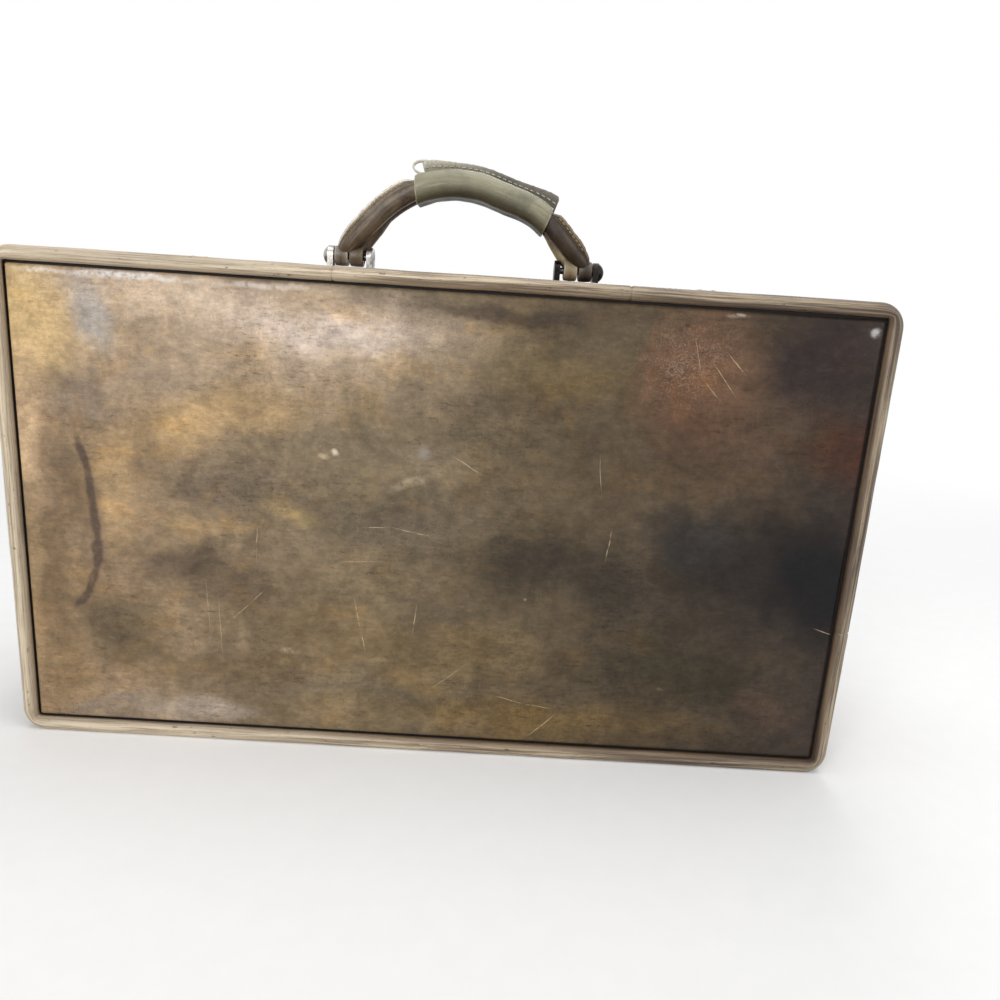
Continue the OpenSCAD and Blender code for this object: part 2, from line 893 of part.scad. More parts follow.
module latch_plate(side) {
    slot_w = button_w + 2 * pass_gap;
    color(brass) at_latch(side) difference() {
        union() {
            rounded_plate(-plate_in, plate_out, plate_y0, plate_y1, plate_r, latch_t);
            for (x = [-latch_ear_x - latch_ear_t, latch_ear_x]) {
                translate([x, hasp_pin_back, hasp_pin_z]) rotate([0, 90, 0]) {
                    cylinder(d = latch_ear_w, h = latch_ear_t);
                }
                translate([x, hasp_pin_back - latch_ear_w / 2, 0]) {
                    cube([latch_ear_t, latch_ear_w, hasp_pin_z]);
                }
            }
            translate([0, 0, latch_t]) {
                rounded_plate(housing_x0, housing_x1, housing_y0, housing_y1, plate_r, housing_h);
            }
        }
        translate([housing_x0 + housing_t, housing_y0 + housing_t, latch_t]) {
            cube([
                housing_x1 - housing_x0 - 2 * housing_t,
                housing_y1 - housing_y0 - 2 * housing_t,
                housing_h - housing_t
            ]);
        }
        translate([housing_x0 - past, housing_mid - tongue_w / 2 - pass_gap, latch_t]) {
            cube([housing_t + 2 * past, tongue_w + 2 * pass_gap, housing_h - housing_t]);
        }
        translate([button_x, housing_mid, latch_t + housing_h - housing_t - past]) {
            translate([-pass_gap, -slot_w / 2, 0]) {
                cube([slot_w + button_travel, slot_w, housing_t + 2 * past]);
            }
        }
        translate([-plate_in - past, hasp_pin_back, hasp_pin_z]) rotate([0, 90, 0]) {
            cylinder(d = hasp_pin_d + seat_clear, h = 2 * plate_in + past);
        }
    }
}

module latch_plate_left() {
    latch_plate(-1);
}

module latch_plate_right() {
    latch_plate(1);
}

module hasp_pin(side) {
    half = latch_ear_x + latch_ear_t;
    color(steel) at_latch(side) translate([-half, hasp_pin_back, hasp_pin_z]) {
        rotate([0, 90, 0]) cylinder(d = hasp_pin_d, h = 2 * half);
    }
}

module hasp_pin_left() {
    hasp_pin(-1);
}

module hasp_pin_right() {
    hasp_pin(1);
}

// Hasp: a crowned strip with a barrel at its back and a fork at its front
module hasp(side) {
    crown_z = hasp_edge_z + hasp_t - sqrt(hasp_crown_r ^ 2 - (hasp_w / 2) ^ 2);
    length = hasp_pin_back + hasp_reach;
    color(brass) at_latch(side) difference() {
        union() {
            intersection() {
                translate([0, hasp_pin_back, 0]) rotate([90, 0, 0]) linear_extrude(length) difference() {
                    translate([0, crown_z]) circle(hasp_crown_r, $fn = 180);
                    translate([0, crown_z]) circle(hasp_crown_r - hasp_t, $fn = 180);
                }
                rounded_plate(-hasp_w / 2, hasp_w / 2, -hasp_reach, hasp_pin_back + nose_r, nose_r, hasp_w);
            }
            translate([-hasp_w / 2, hasp_pin_back, hasp_pin_z]) rotate([0, 90, 0]) {
                cylinder(d = hasp_barrel_d, h = hasp_w);
            }
        }
        translate([-fork_w / 2, -hasp_reach - past, 0]) cube([fork_w, hasp_reach + past + fork_y, hasp_w]);
        translate([-plate_in, hasp_pin_back, hasp_pin_z]) rotate([0, 90, 0]) {
            cylinder(d = hasp_pin_d + 2 * run_clear, h = 2 * plate_in);
        }
    }
}

module hasp_left() {
    hasp(-1);
}

module hasp_right() {
    hasp(1);
}

// Sliding button: a thumb piece on a carriage whose tongue points at the hasp
module latch_button(side) {
    floor_z = latch_t + pass_gap;
    carriage_h = housing_h - housing_t - 2 * pass_gap;
    carriage_w = housing_y1 - housing_y0 - 2 * housing_t - 2 * pass_gap;
    carriage_l = button_w + 2 * carriage_edge;
    tongue_x = hasp_w / 2 + pass_gap;
    knob_z = latch_t + housing_h + pass_gap;
    color(brass) at_latch(side) {
        translate([button_x - carriage_edge, housing_mid - carriage_w / 2, floor_z]) {
            cube([carriage_l, carriage_w, carriage_h]);
        }
        translate([tongue_x, housing_mid - tongue_w / 2, floor_z]) {
            cube([button_x - tongue_x, tongue_w, carriage_h]);
        }
        translate([button_x, housing_mid - button_w / 2, floor_z]) {
            cube([button_w, button_w, knob_z - floor_z]);
        }
        translate([button_x + button_w / 2, housing_mid, knob_z]) {
            rounded_plate(-knob_w / 2, knob_w / 2, -knob_w / 2, knob_w / 2, plate_r, knob_t);
            for (k = [-2:2]) {
                translate([k * ridge_pitch - ridge_w / 2, ridge_edge - knob_w / 2, knob_t]) {
                    cube([ridge_w, knob_w - 2 * ridge_edge, ridge_h]);
                }
            }
        }
    }
}

module latch_button_left() {
    latch_button(-1);
}

module latch_button_right() {
    latch_button(1);
}

module latch_rivets() {
    outer_x = plate_out - latch_rivet_edge;
    inner_x = latch_rivet_edge - plate_in;
    spots = [[inner_x, latch_rivet_y], [outer_x, latch_rivet_y], [outer_x, hasp_pin_back]];
    color(brass) for (side = [-1, 1]) at_latch(side) {
        for (p = spots) translate([p[0], p[1], latch_t]) dome_head(latch_rivet_d, latch_rivet_h);
    }
}

// Catch on the lid: a plate with a tooth that stands in the hasp's fork
module catch(side) {
    catch_y0 = -hasp_reach - catch_reach;
    color(brass) at_latch(side) {
        rounded_plate(-catch_half_w, catch_half_w, catch_y0, catch_y1, catch_r, latch_t);
        translate([-tooth[0] / 2, tooth_back - hasp_reach, latch_t]) cube(tooth);
    }
}

module catch_left() {
    catch(-1);
}

module catch_right() {
    catch(1);
}

module catch_rivets() {
    rivet_x = catch_half_w - catch_r - latch_rivet_d / 2;
    color(brass) for (side = [-1, 1], sx = [-1, 1]) at_latch(side) {
        translate([sx * rivet_x, -hasp_reach - catch_reach / 2, latch_t]) {
            dome_head(latch_rivet_d, latch_rivet_h);
        }
    }
}

// Folding stays. Each is a linkage of two links whose sides stay parallel to the
// lines from the hinge to its two pins, so both links turn with the lid at once.
inside_x = case_w / 2 - inside_u;
// Heads of the stay's pins and of its elbow, and the pin through the elbow
stay_head_d = 7;
head_t = 0.8;
elbow_d = 3;
elbow_head_d = 5;
// Play along the pins between the two links and under the elbow's heads
link_gap = 0.4;
elbow_play = 0.1;
head_room = 0.9;
lower_x = inside_x - tongue_gap - tongue_t - head_t - head_room - link_t;
upper_x = lower_x - link_gap - link_t;
// Joints as [Y, Z]
base_pin = [rim_y + base_pin_back, hinge_z + base_pin_up];
lid_pin = [rim_y - lid_pin_out, hinge_z + lid_pin_up];
elbow = [rim_y + base_pin_back - lid_pin_out, hinge_z + base_pin_up + lid_pin_up];

// Flat link between two points of the YZ plane, on the face x = x0
module stay_link(x0, a, b, bore_a, bore_b) {
    length = norm(b - a);
    turn = atan2(b[1] - a[1], b[0] - a[0]);
    translate([x0, a[0], a[1]]) rotate([90, 0, 90]) rotate([0, 0, turn]) linear_extrude(link_t) {
        difference() {
            union() {
                circle(d = link_w);
                translate([length, 0]) circle(d = link_w);
                translate([0, -link_w / 2]) square([length, link_w]);
            }
            circle(d = bore_a);
            translate([length, 0]) circle(d = bore_b);
        }
    }
}

module at_pin(x, p) {
    translate([x, p[0], p[1]]) rotate([0, 90, 0]) children();
}

module stay_lower_right() {
    color(brass) stay_link(lower_x, base_pin, elbow, stay_pin_d + 2 * run_clear, elbow_d + seat_clear);
}

module stay_lower_left() {
    mirror([1, 0, 0]) stay_lower_right();
}

module stay_upper_right() {
    color(brass) stay_link(upper_x, elbow, lid_pin, elbow_d + 2 * run_clear, stay_pin_d + 2 * run_clear);
}

module stay_upper_left() {
    mirror([1, 0, 0]) stay_upper_right();
}

module stay_elbow_pin_right() {
    foot_x = upper_x - elbow_play - head_t;
    color(steel) {
        at_pin(foot_x, elbow) cylinder(d = elbow_head_d, h = head_t);
        at_pin(foot_x, elbow) cylinder(d = elbow_d, h = lower_x + link_t + head_t - foot_x);
        at_pin(lower_x + link_t, elbow) cylinder(d = elbow_head_d, h = head_t);
    }
}

module stay_elbow_pin_left() {
    mirror([1, 0, 0]) stay_elbow_pin_right();
}

// Pin that stands on the lining at x = inside_x and holds a link that lies on x = x0
module stay_pin(x0, p) {
    tip_x = x0 - pass_gap - head_t;
    foot_x = x0 + link_t + pass_gap;
    color(steel) {
        at_pin(foot_x, p) cylinder(d = stay_head_d, h = inside_x - foot_x);
        at_pin(tip_x, p) cylinder(d = stay_pin_d, h = foot_x - tip_x);
        at_pin(tip_x, p) cylinder(d = stay_head_d, h = head_t);
    }
}

module stay_base_pin_right() {
    stay_pin(lower_x, base_pin);
}

module stay_base_pin_left() {
    mirror([1, 0, 0]) stay_base_pin_right();
}

module stay_lid_pin_right() {
    stay_pin(upper_x, lid_pin);
}

module stay_lid_pin_left() {
    mirror([1, 0, 0]) stay_lid_pin_right();
}

// Document pocket on the lid's lining, open at its top
module document_pocket() {
    depth = pocket_gap + 2 * pocket_t;
    y0 = -case_d / 2 + inside_v;
    color(lining_cloth) translate([-pocket_w / 2, y0, pocket_z]) difference() {
        cube([pocket_w, depth, pocket_h]);
        translate([pocket_t, pocket_t, pocket_t]) cube([pocket_w - 2 * pocket_t, pocket_gap, pocket_h]);
    }
}

module pocket_band() {
    y0 = -case_d / 2 + inside_v + pocket_gap + 2 * pocket_t;
    color(leather) translate([-pocket_w / 2, y0, pocket_z + pocket_h - band_h]) {
        cube([pocket_w, pocket_t, band_h]);
    }
}

base_frame();
back_board();
base_cover();
back_panel();
back_bead();
base_lining();
base_rim();
lid_frame();
front_board();
lid_cover();
front_panel();
front_bead();
lid_lining();
lid_rim();
hinge_leaf_base();
hinge_leaf_lid();
hinge_pin();
hinge_screws_base();
hinge_screws_lid();
handle_strand_front();
handle_strand_rear();
grip_wrap();
handle_eyes_left();
handle_eyes_right();
handle_pin_left();
handle_pin_right();
handle_bracket_left();
handle_bracket_right();
bracket_rivets();
latch_plate_left();
latch_plate_right();
hasp_left();
hasp_right();
hasp_pin_left();
hasp_pin_right();
latch_button_left();
latch_button_right();
latch_rivets();
catch_left();
catch_right();
catch_rivets();
stay_lower_left();
stay_lower_right();
stay_upper_left();
stay_upper_right();
stay_elbow_pin_left();
stay_elbow_pin_right();
stay_base_pin_left();
stay_base_pin_right();
stay_lid_pin_left();
stay_lid_pin_right();
document_pocket();
pocket_band();
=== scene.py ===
"""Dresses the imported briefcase: leather, cloth, thread and metal round the CAD frame."""

import json
import math
from collections import namedtuple

import bmesh
import bpy
from bpy.props import FloatProperty, FloatVectorProperty, PointerProperty
from mathutils import Matrix, Vector, noise


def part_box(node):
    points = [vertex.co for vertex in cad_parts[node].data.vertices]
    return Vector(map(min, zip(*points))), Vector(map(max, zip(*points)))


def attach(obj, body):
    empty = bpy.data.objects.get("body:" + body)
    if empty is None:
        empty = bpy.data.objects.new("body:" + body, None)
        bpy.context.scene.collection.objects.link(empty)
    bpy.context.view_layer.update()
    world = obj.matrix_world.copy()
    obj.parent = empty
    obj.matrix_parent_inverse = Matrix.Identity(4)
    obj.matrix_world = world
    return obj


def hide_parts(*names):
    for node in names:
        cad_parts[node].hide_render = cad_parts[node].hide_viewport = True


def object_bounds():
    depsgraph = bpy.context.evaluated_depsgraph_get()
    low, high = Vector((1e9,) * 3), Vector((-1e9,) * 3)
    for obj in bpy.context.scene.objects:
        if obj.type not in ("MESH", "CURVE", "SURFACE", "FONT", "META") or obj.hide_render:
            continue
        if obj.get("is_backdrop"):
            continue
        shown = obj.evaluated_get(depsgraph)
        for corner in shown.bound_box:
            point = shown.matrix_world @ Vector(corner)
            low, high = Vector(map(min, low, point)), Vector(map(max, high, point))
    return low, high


bl_info = {
    "name": "Leather briefcase",
    "version": (1, 0, 0),
    "blender": (4, 5, 0),
    "location": "View3D > Sidebar > Briefcase",
    "description": "Leather, cloth, thread and metal for a hard briefcase",
    "category": "Object",
}

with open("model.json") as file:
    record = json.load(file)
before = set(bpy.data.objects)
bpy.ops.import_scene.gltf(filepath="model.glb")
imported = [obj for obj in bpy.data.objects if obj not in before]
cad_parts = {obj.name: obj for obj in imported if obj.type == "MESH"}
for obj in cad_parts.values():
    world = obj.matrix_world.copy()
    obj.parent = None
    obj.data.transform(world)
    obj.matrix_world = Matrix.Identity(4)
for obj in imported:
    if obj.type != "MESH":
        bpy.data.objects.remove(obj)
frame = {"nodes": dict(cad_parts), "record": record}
cad_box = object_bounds()

MM = 0.001


def tone(red, green, blue):
    """Linear colour of an 8-bit display colour."""
    return tuple(
        c / 12.92 if c <= 0.04045 else ((c + 0.055) / 1.055) ** 2.4
        for c in (red / 255, green / 255, blue / 255)
    )


def centre_of(node):
    low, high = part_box(node)
    return (low + high) / 2


# Places taken from the CAD frame, in metres
BEAD_LOW, BEAD_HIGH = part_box("front_bead")
HALF_WIDTH = BEAD_HIGH.x
TOP = BEAD_HIGH.z
FACE_Y = -BEAD_LOW.y
PIVOT = centre_of("handle_pin_right")
HANDLE_X = (centre_of("handle_pin_left").x + PIVOT.x) / 2


def length_property(name, value, description):
    return FloatProperty(
        name=name, default=value, min=0.0, unit="LENGTH", description=description
    )


def colour_property(name, value, description):
    return FloatVectorProperty(
        name=name,
        default=tone(*value),
        min=0.0,
        max=1.0,
        size=3,
        subtype="COLOR",
        description=description,
    )


class BriefcaseSizes(bpy.types.PropertyGroup):
    corner_radius: length_property(
        "Corner radius", 14 * MM, "Outer radius of the case's corners"
    )
    bead_width: length_property("Bead width", 8 * MM, "Width of the bead from the front")
    bead_depth: length_property("Bead depth", 6.5 * MM, "Depth of the bead to its flat back")
    panel_recess: length_property(
        "Panel recess", 3 * MM, "Depth of the panel's edge behind the bead's crown"
    )
    panel_crown: length_property(
        "Panel crown", 2 * MM, "Rise of the panel towards its middle"
    )
    panel_roll: length_property(
        "Panel roll", 2.5 * MM, "Radius that rolls the panel's edge into the groove"
    )
    panel_corner: length_property("Panel corner", 1.2 * MM, "Corner radius of the panel")
    strand_diameter: length_property(
        "Strand diameter", 11.5 * MM, "Diameter of a rolled strand of the handle"
    )
    arch_radius: length_property(
        "Arch radius", 74.25 * MM, "Radius of the handle's arch to the middle of a strand"
    )
    arch_rise: length_property(
        "Arch rise", 47 * MM, "Height of the arch's crown above the pivot"
    )
    grip_leather: length_property("Grip leather", 2 * MM, "Thickness of the grip's leather")
    seam_height: length_property("Seam height", 5.5 * MM, "Height of the seam on the grip")
    stitch_length: length_property("Stitch length", 2.6 * MM, "Length of one visible stitch")
    stitch_pitch: length_property("Stitch pitch", 3.8 * MM, "Distance between stitches")
    thread: length_property("Thread", 0.8 * MM, "Thickness of the thread")


class BriefcaseColours(bpy.types.PropertyGroup):
    panel_dark: colour_property("Panel dark", (44, 38, 36), "Darkest stains of the panels")
    bead_tan: colour_property("Bead tan", (146, 124, 96), "Leather of the beads")
    bead_brown: colour_property("Bead brown", (104, 86, 66), "Darker leather of the beads")
    # Pale crown of the beads: wear, with a painted highlight.
    bead_worn_and_lit: colour_property("Bead worn", (214, 200, 172), "Rubbed crown of the beads")
    side_brown: colour_property("Side brown", (128, 100, 66), "Leather of the case's sides")
    strand_brown: colour_property("Strand brown", (74, 58, 44), "Leather of the strands")
    grip_khaki: colour_property("Grip khaki", (134, 130, 106), "Leather of the grip")
    thread_cream: colour_property("Thread", (206, 194, 160), "Waxed thread")
    lining_brown: colour_property("Lining", (116, 92, 68), "Brushed cloth of the lining")
    brass: colour_property("Brass", (178, 148, 92), "Tarnished brass of latches and hinge")
    steel: colour_property("Steel", (104, 104, 106), "Dull plated steel of the handle")


class BriefcaseStage(bpy.types.PropertyGroup):
    camera_place: FloatVectorProperty(
        name="Camera place",
        default=(0.0285791, -0.4835677, 0.2628555),
        size=3,
        subtype="TRANSLATION",
        unit="LENGTH",
        description="Where the photograph's camera stands",
    )
    camera_turn: FloatVectorProperty(
        name="Camera turn",
        default=(math.radians(76.7237), math.radians(-3.6714), math.radians(-0.0076)),
        size=3,
        subtype="EULER",
        description="How the photograph's camera is turned",
    )
    camera_lens: FloatProperty(
        name="Lens", default=27.224, min=1.0, description="Focal length on a 36 mm frame"
    )
    floor_size: length_property("Floor size", 14.0, "Width of the floor")


def sizes():
    return bpy.context.scene.briefcase_sizes


def colours():
    return bpy.context.scene.briefcase_colours


# ---- Modelling ----


def clear_selection():
    """Leaves edit mode and selects nothing, so the next primitive stands alone."""
    if bpy.context.object and bpy.context.object.mode != "OBJECT":
        bpy.ops.object.mode_set(mode="OBJECT")
    bpy.ops.object.select_all(action="DESELECT")


def choose(piece, *others):
    """Selects pieces, the first one as the active object."""
    clear_selection()
    for one in (piece, *others):
        one.select_set(True)
    bpy.context.view_layer.objects.active = piece


def take(name):
    """Names the primitive just added."""
    piece = bpy.context.object
    piece.name = name
    piece.data.name = name
    return piece


def edit(piece):
    choose(piece)
    bpy.ops.object.mode_set(mode="EDIT")
    return bmesh.from_edit_mesh(piece.data)


def smooth(piece, degrees=40):
    choose(piece)
    bpy.ops.object.shade_smooth_by_angle(angle=math.radians(degrees))


def turn_outward():
    """Points all faces of the mesh in edit mode outward."""
    bpy.ops.mesh.select_all(action="SELECT")
    bpy.ops.mesh.normals_make_consistent(inside=False)


def add_modifier(piece, kind, **settings):
    """Adds a modifier and applies it at once."""
    choose(piece)
    modifier = piece.modifiers.new(kind.title(), kind)
    for key, value in settings.items():
        setattr(modifier, key, value)
    bpy.ops.object.modifier_apply(modifier=modifier.name)


def settle(piece, body, slot, material, *nodes):
    """Gives a finished piece its material and its place in the frame."""
    clear_selection()
    piece.data.materials.clear()
    piece.data.materials.append(material)
    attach(piece, body)
    if nodes:
        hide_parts(*nodes)
    return piece


def sweep(name, rings, around, along, closed=False, wear_and_sheen=None, crease=50):
    """A ring of edges extruded from station to station, each new ring put in its place.

    around and along are distances in metres for the UV map; the share of wear, and on the
    bead a painted highlight, that a function gives per step and slot is kept as a point
    attribute. Edges sharper than crease degrees stay sharp.
    """
    count = len(rings[0])
    clear_selection()
    bpy.ops.mesh.primitive_circle_add(vertices=count, radius=0.01, fill_type="NOTHING")
    piece = take(name)
    bpy.ops.object.mode_set(mode="EDIT")
    mesh = bmesh.from_edit_mesh(piece.data)
    mesh.verts.layers.int.new("slot")
    mesh.verts.layers.int.new("step")
    slot = mesh.verts.layers.int["slot"]
    mesh.verts.ensure_lookup_table()
    for i, vert in enumerate(mesh.verts):
        vert[slot] = i
        vert.co = rings[0][i]
    for k, ring in enumerate(rings[1:], 1):
        bpy.ops.mesh.extrude_region()
        mesh = bmesh.from_edit_mesh(piece.data)
        slot = mesh.verts.layers.int["slot"]
        step = mesh.verts.layers.int["step"]
        for vert in mesh.verts:
            if vert.select:
                vert.co = ring[vert[slot]]
                vert[step] = k
    last = len(rings) - 1
    if closed:
        bpy.ops.mesh.select_all(action="SELECT")
        bpy.ops.mesh.remove_doubles(threshold=1e-7)
    else:
        for end in (0, last):
            bpy.ops.mesh.select_all(action="DESELECT")
            mesh = bmesh.from_edit_mesh(piece.data)
            step = mesh.verts.layers.int["step"]
            for vert in mesh.verts:
                vert.select = vert[step] == end
            mesh.select_flush(True)
            bpy.ops.mesh.edge_face_add()
    turn_outward()
    lay_out(bmesh.from_edit_mesh(piece.data), around, along, last, wear_and_sheen)
    bmesh.update_edit_mesh(piece.data)
    bpy.ops.object.mode_set(mode="OBJECT")
    smooth(piece, crease)
    return piece


def lay_out(mesh, around, along, last, wear_and_sheen):
    """UV map with distance along a sweep in U and round its section in V."""
    count = len(around) - 1
    slot = mesh.verts.layers.int["slot"]
    step = mesh.verts.layers.int["step"]
    run = mesh.loops.layers.uv.new("Run")
    if wear_and_sheen:
        rubbed = mesh.verts.layers.float.new("wear_and_sheen")
        for vert in mesh.verts:
            vert[rubbed] = wear_and_sheen(vert[step], vert[slot])
    for face in mesh.faces:
        slots = {v[slot] for v in face.verts}
        steps = {v[step] for v in face.verts}
        wraps = len(face.verts) == 4 and 0 in slots and count - 1 in slots
        closes = len(face.verts) == 4 and max(steps) - min(steps) > 1
        for loop in face.loops:
            s, k = loop.vert[slot], loop.vert[step]
            s = count if wraps and s == 0 else s
            if closes and k < last // 2:
                k = last if max(steps) >= last - 1 and last not in steps else k
            if closes and k == last and 1 in steps:
                k = 0
            loop[run].uv = (along[k], around[s])


def section_lengths(ring):
    """Distances round a closed section, with its full length last."""
    total, out = 0.0, [0.0]
    for i, point in enumerate(ring):
        total += (Vector(ring[(i + 1) % len(ring)]) - Vector(point)).length
        out.append(total)
    return out


# Distance between stations on the outline's corners
TURN_PITCH = 2.2 * MM


def outline_stations(step, extra=()):
    """Stations round the case's outline: x, z, outward x, outward z and the distance run.

    They start under the middle and go towards +X. extra holds distances that get
    stations of their own close together.
    """
    r = sizes().corner_radius
    w, h = HALF_WIDTH - r, TOP / 2 + 0.25 * MM
    mid_z = TOP - h
    tall = h - r
    quarter = math.pi * r / 2
    legs = [
        ("run", (0, -h), (1, 0), w),
        ("turn", (w, -tall), -90, quarter),
        ("run", (w + r, -tall), (0, 1), 2 * tall),
        ("turn", (w, tall), 0, quarter),
        ("run", (w, h), (-1, 0), 2 * w),
        ("turn", (-w, tall), 90, quarter),
        ("run", (-w - r, tall), (0, -1), 2 * tall),
        ("turn", (-w, -tall), 180, quarter),
        ("run", (-w, -h), (1, 0), w),
    ]
    stations, start = [], 0.0
    for kind, origin, way, length in legs:
        count = round(length / (TURN_PITCH if kind == "turn" else step))
        cuts = {i * length / max(1, count) for i in range(count)}
        cuts |= {e - start for e in extra if 0 < e - start < length}
        for d in sorted(cuts):
            if kind == "run":
                x, z = origin[0] + way[0] * d, origin[1] + way[1] * d
                nx, nz = way[1], -way[0]
            else:
                a = math.radians(way) + d / r
                nx, nz = math.cos(a), math.sin(a)
                x, z = origin[0] + r * nx, origin[1] + r * nz
            stations.append((x, z + mid_z, nx, nz, start + d))
        start += length
    first = stations[0]
    stations.append((*first[:4], start))
    return stations


def across(station, inset, depth, side):
    """Point at an inset from the outline and a depth behind the bead's crown."""
    x, z, nx, nz, _ = station
    return Vector((x - nx * inset, side * (FACE_Y - depth), max(z - nz * inset, 0.0)))


def squared(station, inset, reach):
    """Inset that runs nearly square into the corner at reach and stays round outside."""
    _, _, nx, nz, _ = station
    r = sizes().corner_radius
    span = (abs(nx) ** 12 + abs(nz) ** 12) ** (1 / 12)
    square = r - (r - inset) / span
    share = min(1.0, max(0.0, inset / reach)) ** 2
    return inset + (square - inset) * share


def wobble(x, y, z, scale, amount):
    """Smooth irregularity of hand work at a point."""
    return amount * noise.noise(Vector((x, y, z)) * scale)


# Length of a stitch's barrel before its ends are drawn out, as a share of the whole
BARREL = 0.72


def stitches(name, places, length, width):
    """Rows of thread: one stitch is modelled and copied to each centre, way and normal."""
    clear_selection()
    bpy.ops.mesh.primitive_cylinder_add(vertices=6, radius=width / 2, depth=length * BARREL)
    pattern = take(name)
    mesh = edit(pattern)
    for face in mesh.faces:
        face.select = len(face.verts) == 6
    bpy.ops.mesh.inset(thickness=width * 0.16)
    bpy.ops.transform.resize(value=(1, 1, 1 / BARREL))
    bpy.ops.mesh.select_all(action="DESELECT")
    bpy.ops.object.mode_set(mode="OBJECT")
    one = bmesh.new()
    one.from_mesh(pattern.data)
    shape = [v.co.copy() for v in one.verts]
    faces = [[v.index for v in f.verts] for f in one.faces]
    one.free()
    row = bmesh.new()
    for centre, way, normal in places:
        way = way.normalized()
        side = normal.cross(way).normalized()
        up = way.cross(side)
        turn = Matrix((side, up, way)).transposed()
        verts = []
        for co in shape:
            bow = 0.35 * width * (1 - (2 * co.z / length) ** 2) - 0.12 * width
            verts.append(row.verts.new(centre + turn @ Vector((co.x, co.y + bow, co.z))))
        for face in faces:
            row.faces.new([verts[i] for i in face])
    row.to_mesh(pattern.data)
    row.free()
    smooth(pattern, 60)
    return pattern


# ---- Finishes ----


class Nodes:
    """A node tree in the making: shader nodes are added and wired by short calls."""

    def __init__(self, tree):
        self.tree = tree
        self.tree.nodes.clear()

    def put(self, socket, value):
        if isinstance(value, bpy.types.NodeSocket):
            self.tree.links.new(value, socket)
        elif socket.type == "RGBA" and len(value) == 3:
            socket.default_value = (*value, 1.0)
        else:
            socket.default_value = value

    def add(self, kind, inputs=None, **settings):
        node = self.tree.nodes.new("ShaderNode" + kind)
        for key, value in settings.items():
            setattr(node, key, value)
        for key, value in (inputs or {}).items():
            self.put(node.inputs[key], value)
        return node

    def math(self, operation, a, b=0.0, clamp=False):
        node = self.add("Math", {0: a, 1: b}, operation=operation, use_clamp=clamp)
        return node.outputs[0]

    def plus(self, a, b, clamp=False):
        return self.math("ADD", a, b, clamp)

    def minus(self, a, b):
        return self.math("SUBTRACT", a, b)

    def times(self, a, b):
        return self.math("MULTIPLY", a, b)

    def larger(self, a, b):
        return self.math("MAXIMUM", a, b)

    def seen_at_once(self):
        """1 where the camera sees a thing, also in a mirror or through glass."""
        paths = self.add("LightPath").outputs
        seen = self.plus(paths["Is Camera Ray"], paths["Is Glossy Ray"])
        return self.plus(seen, paths["Is Transmission Ray"], clamp=True)


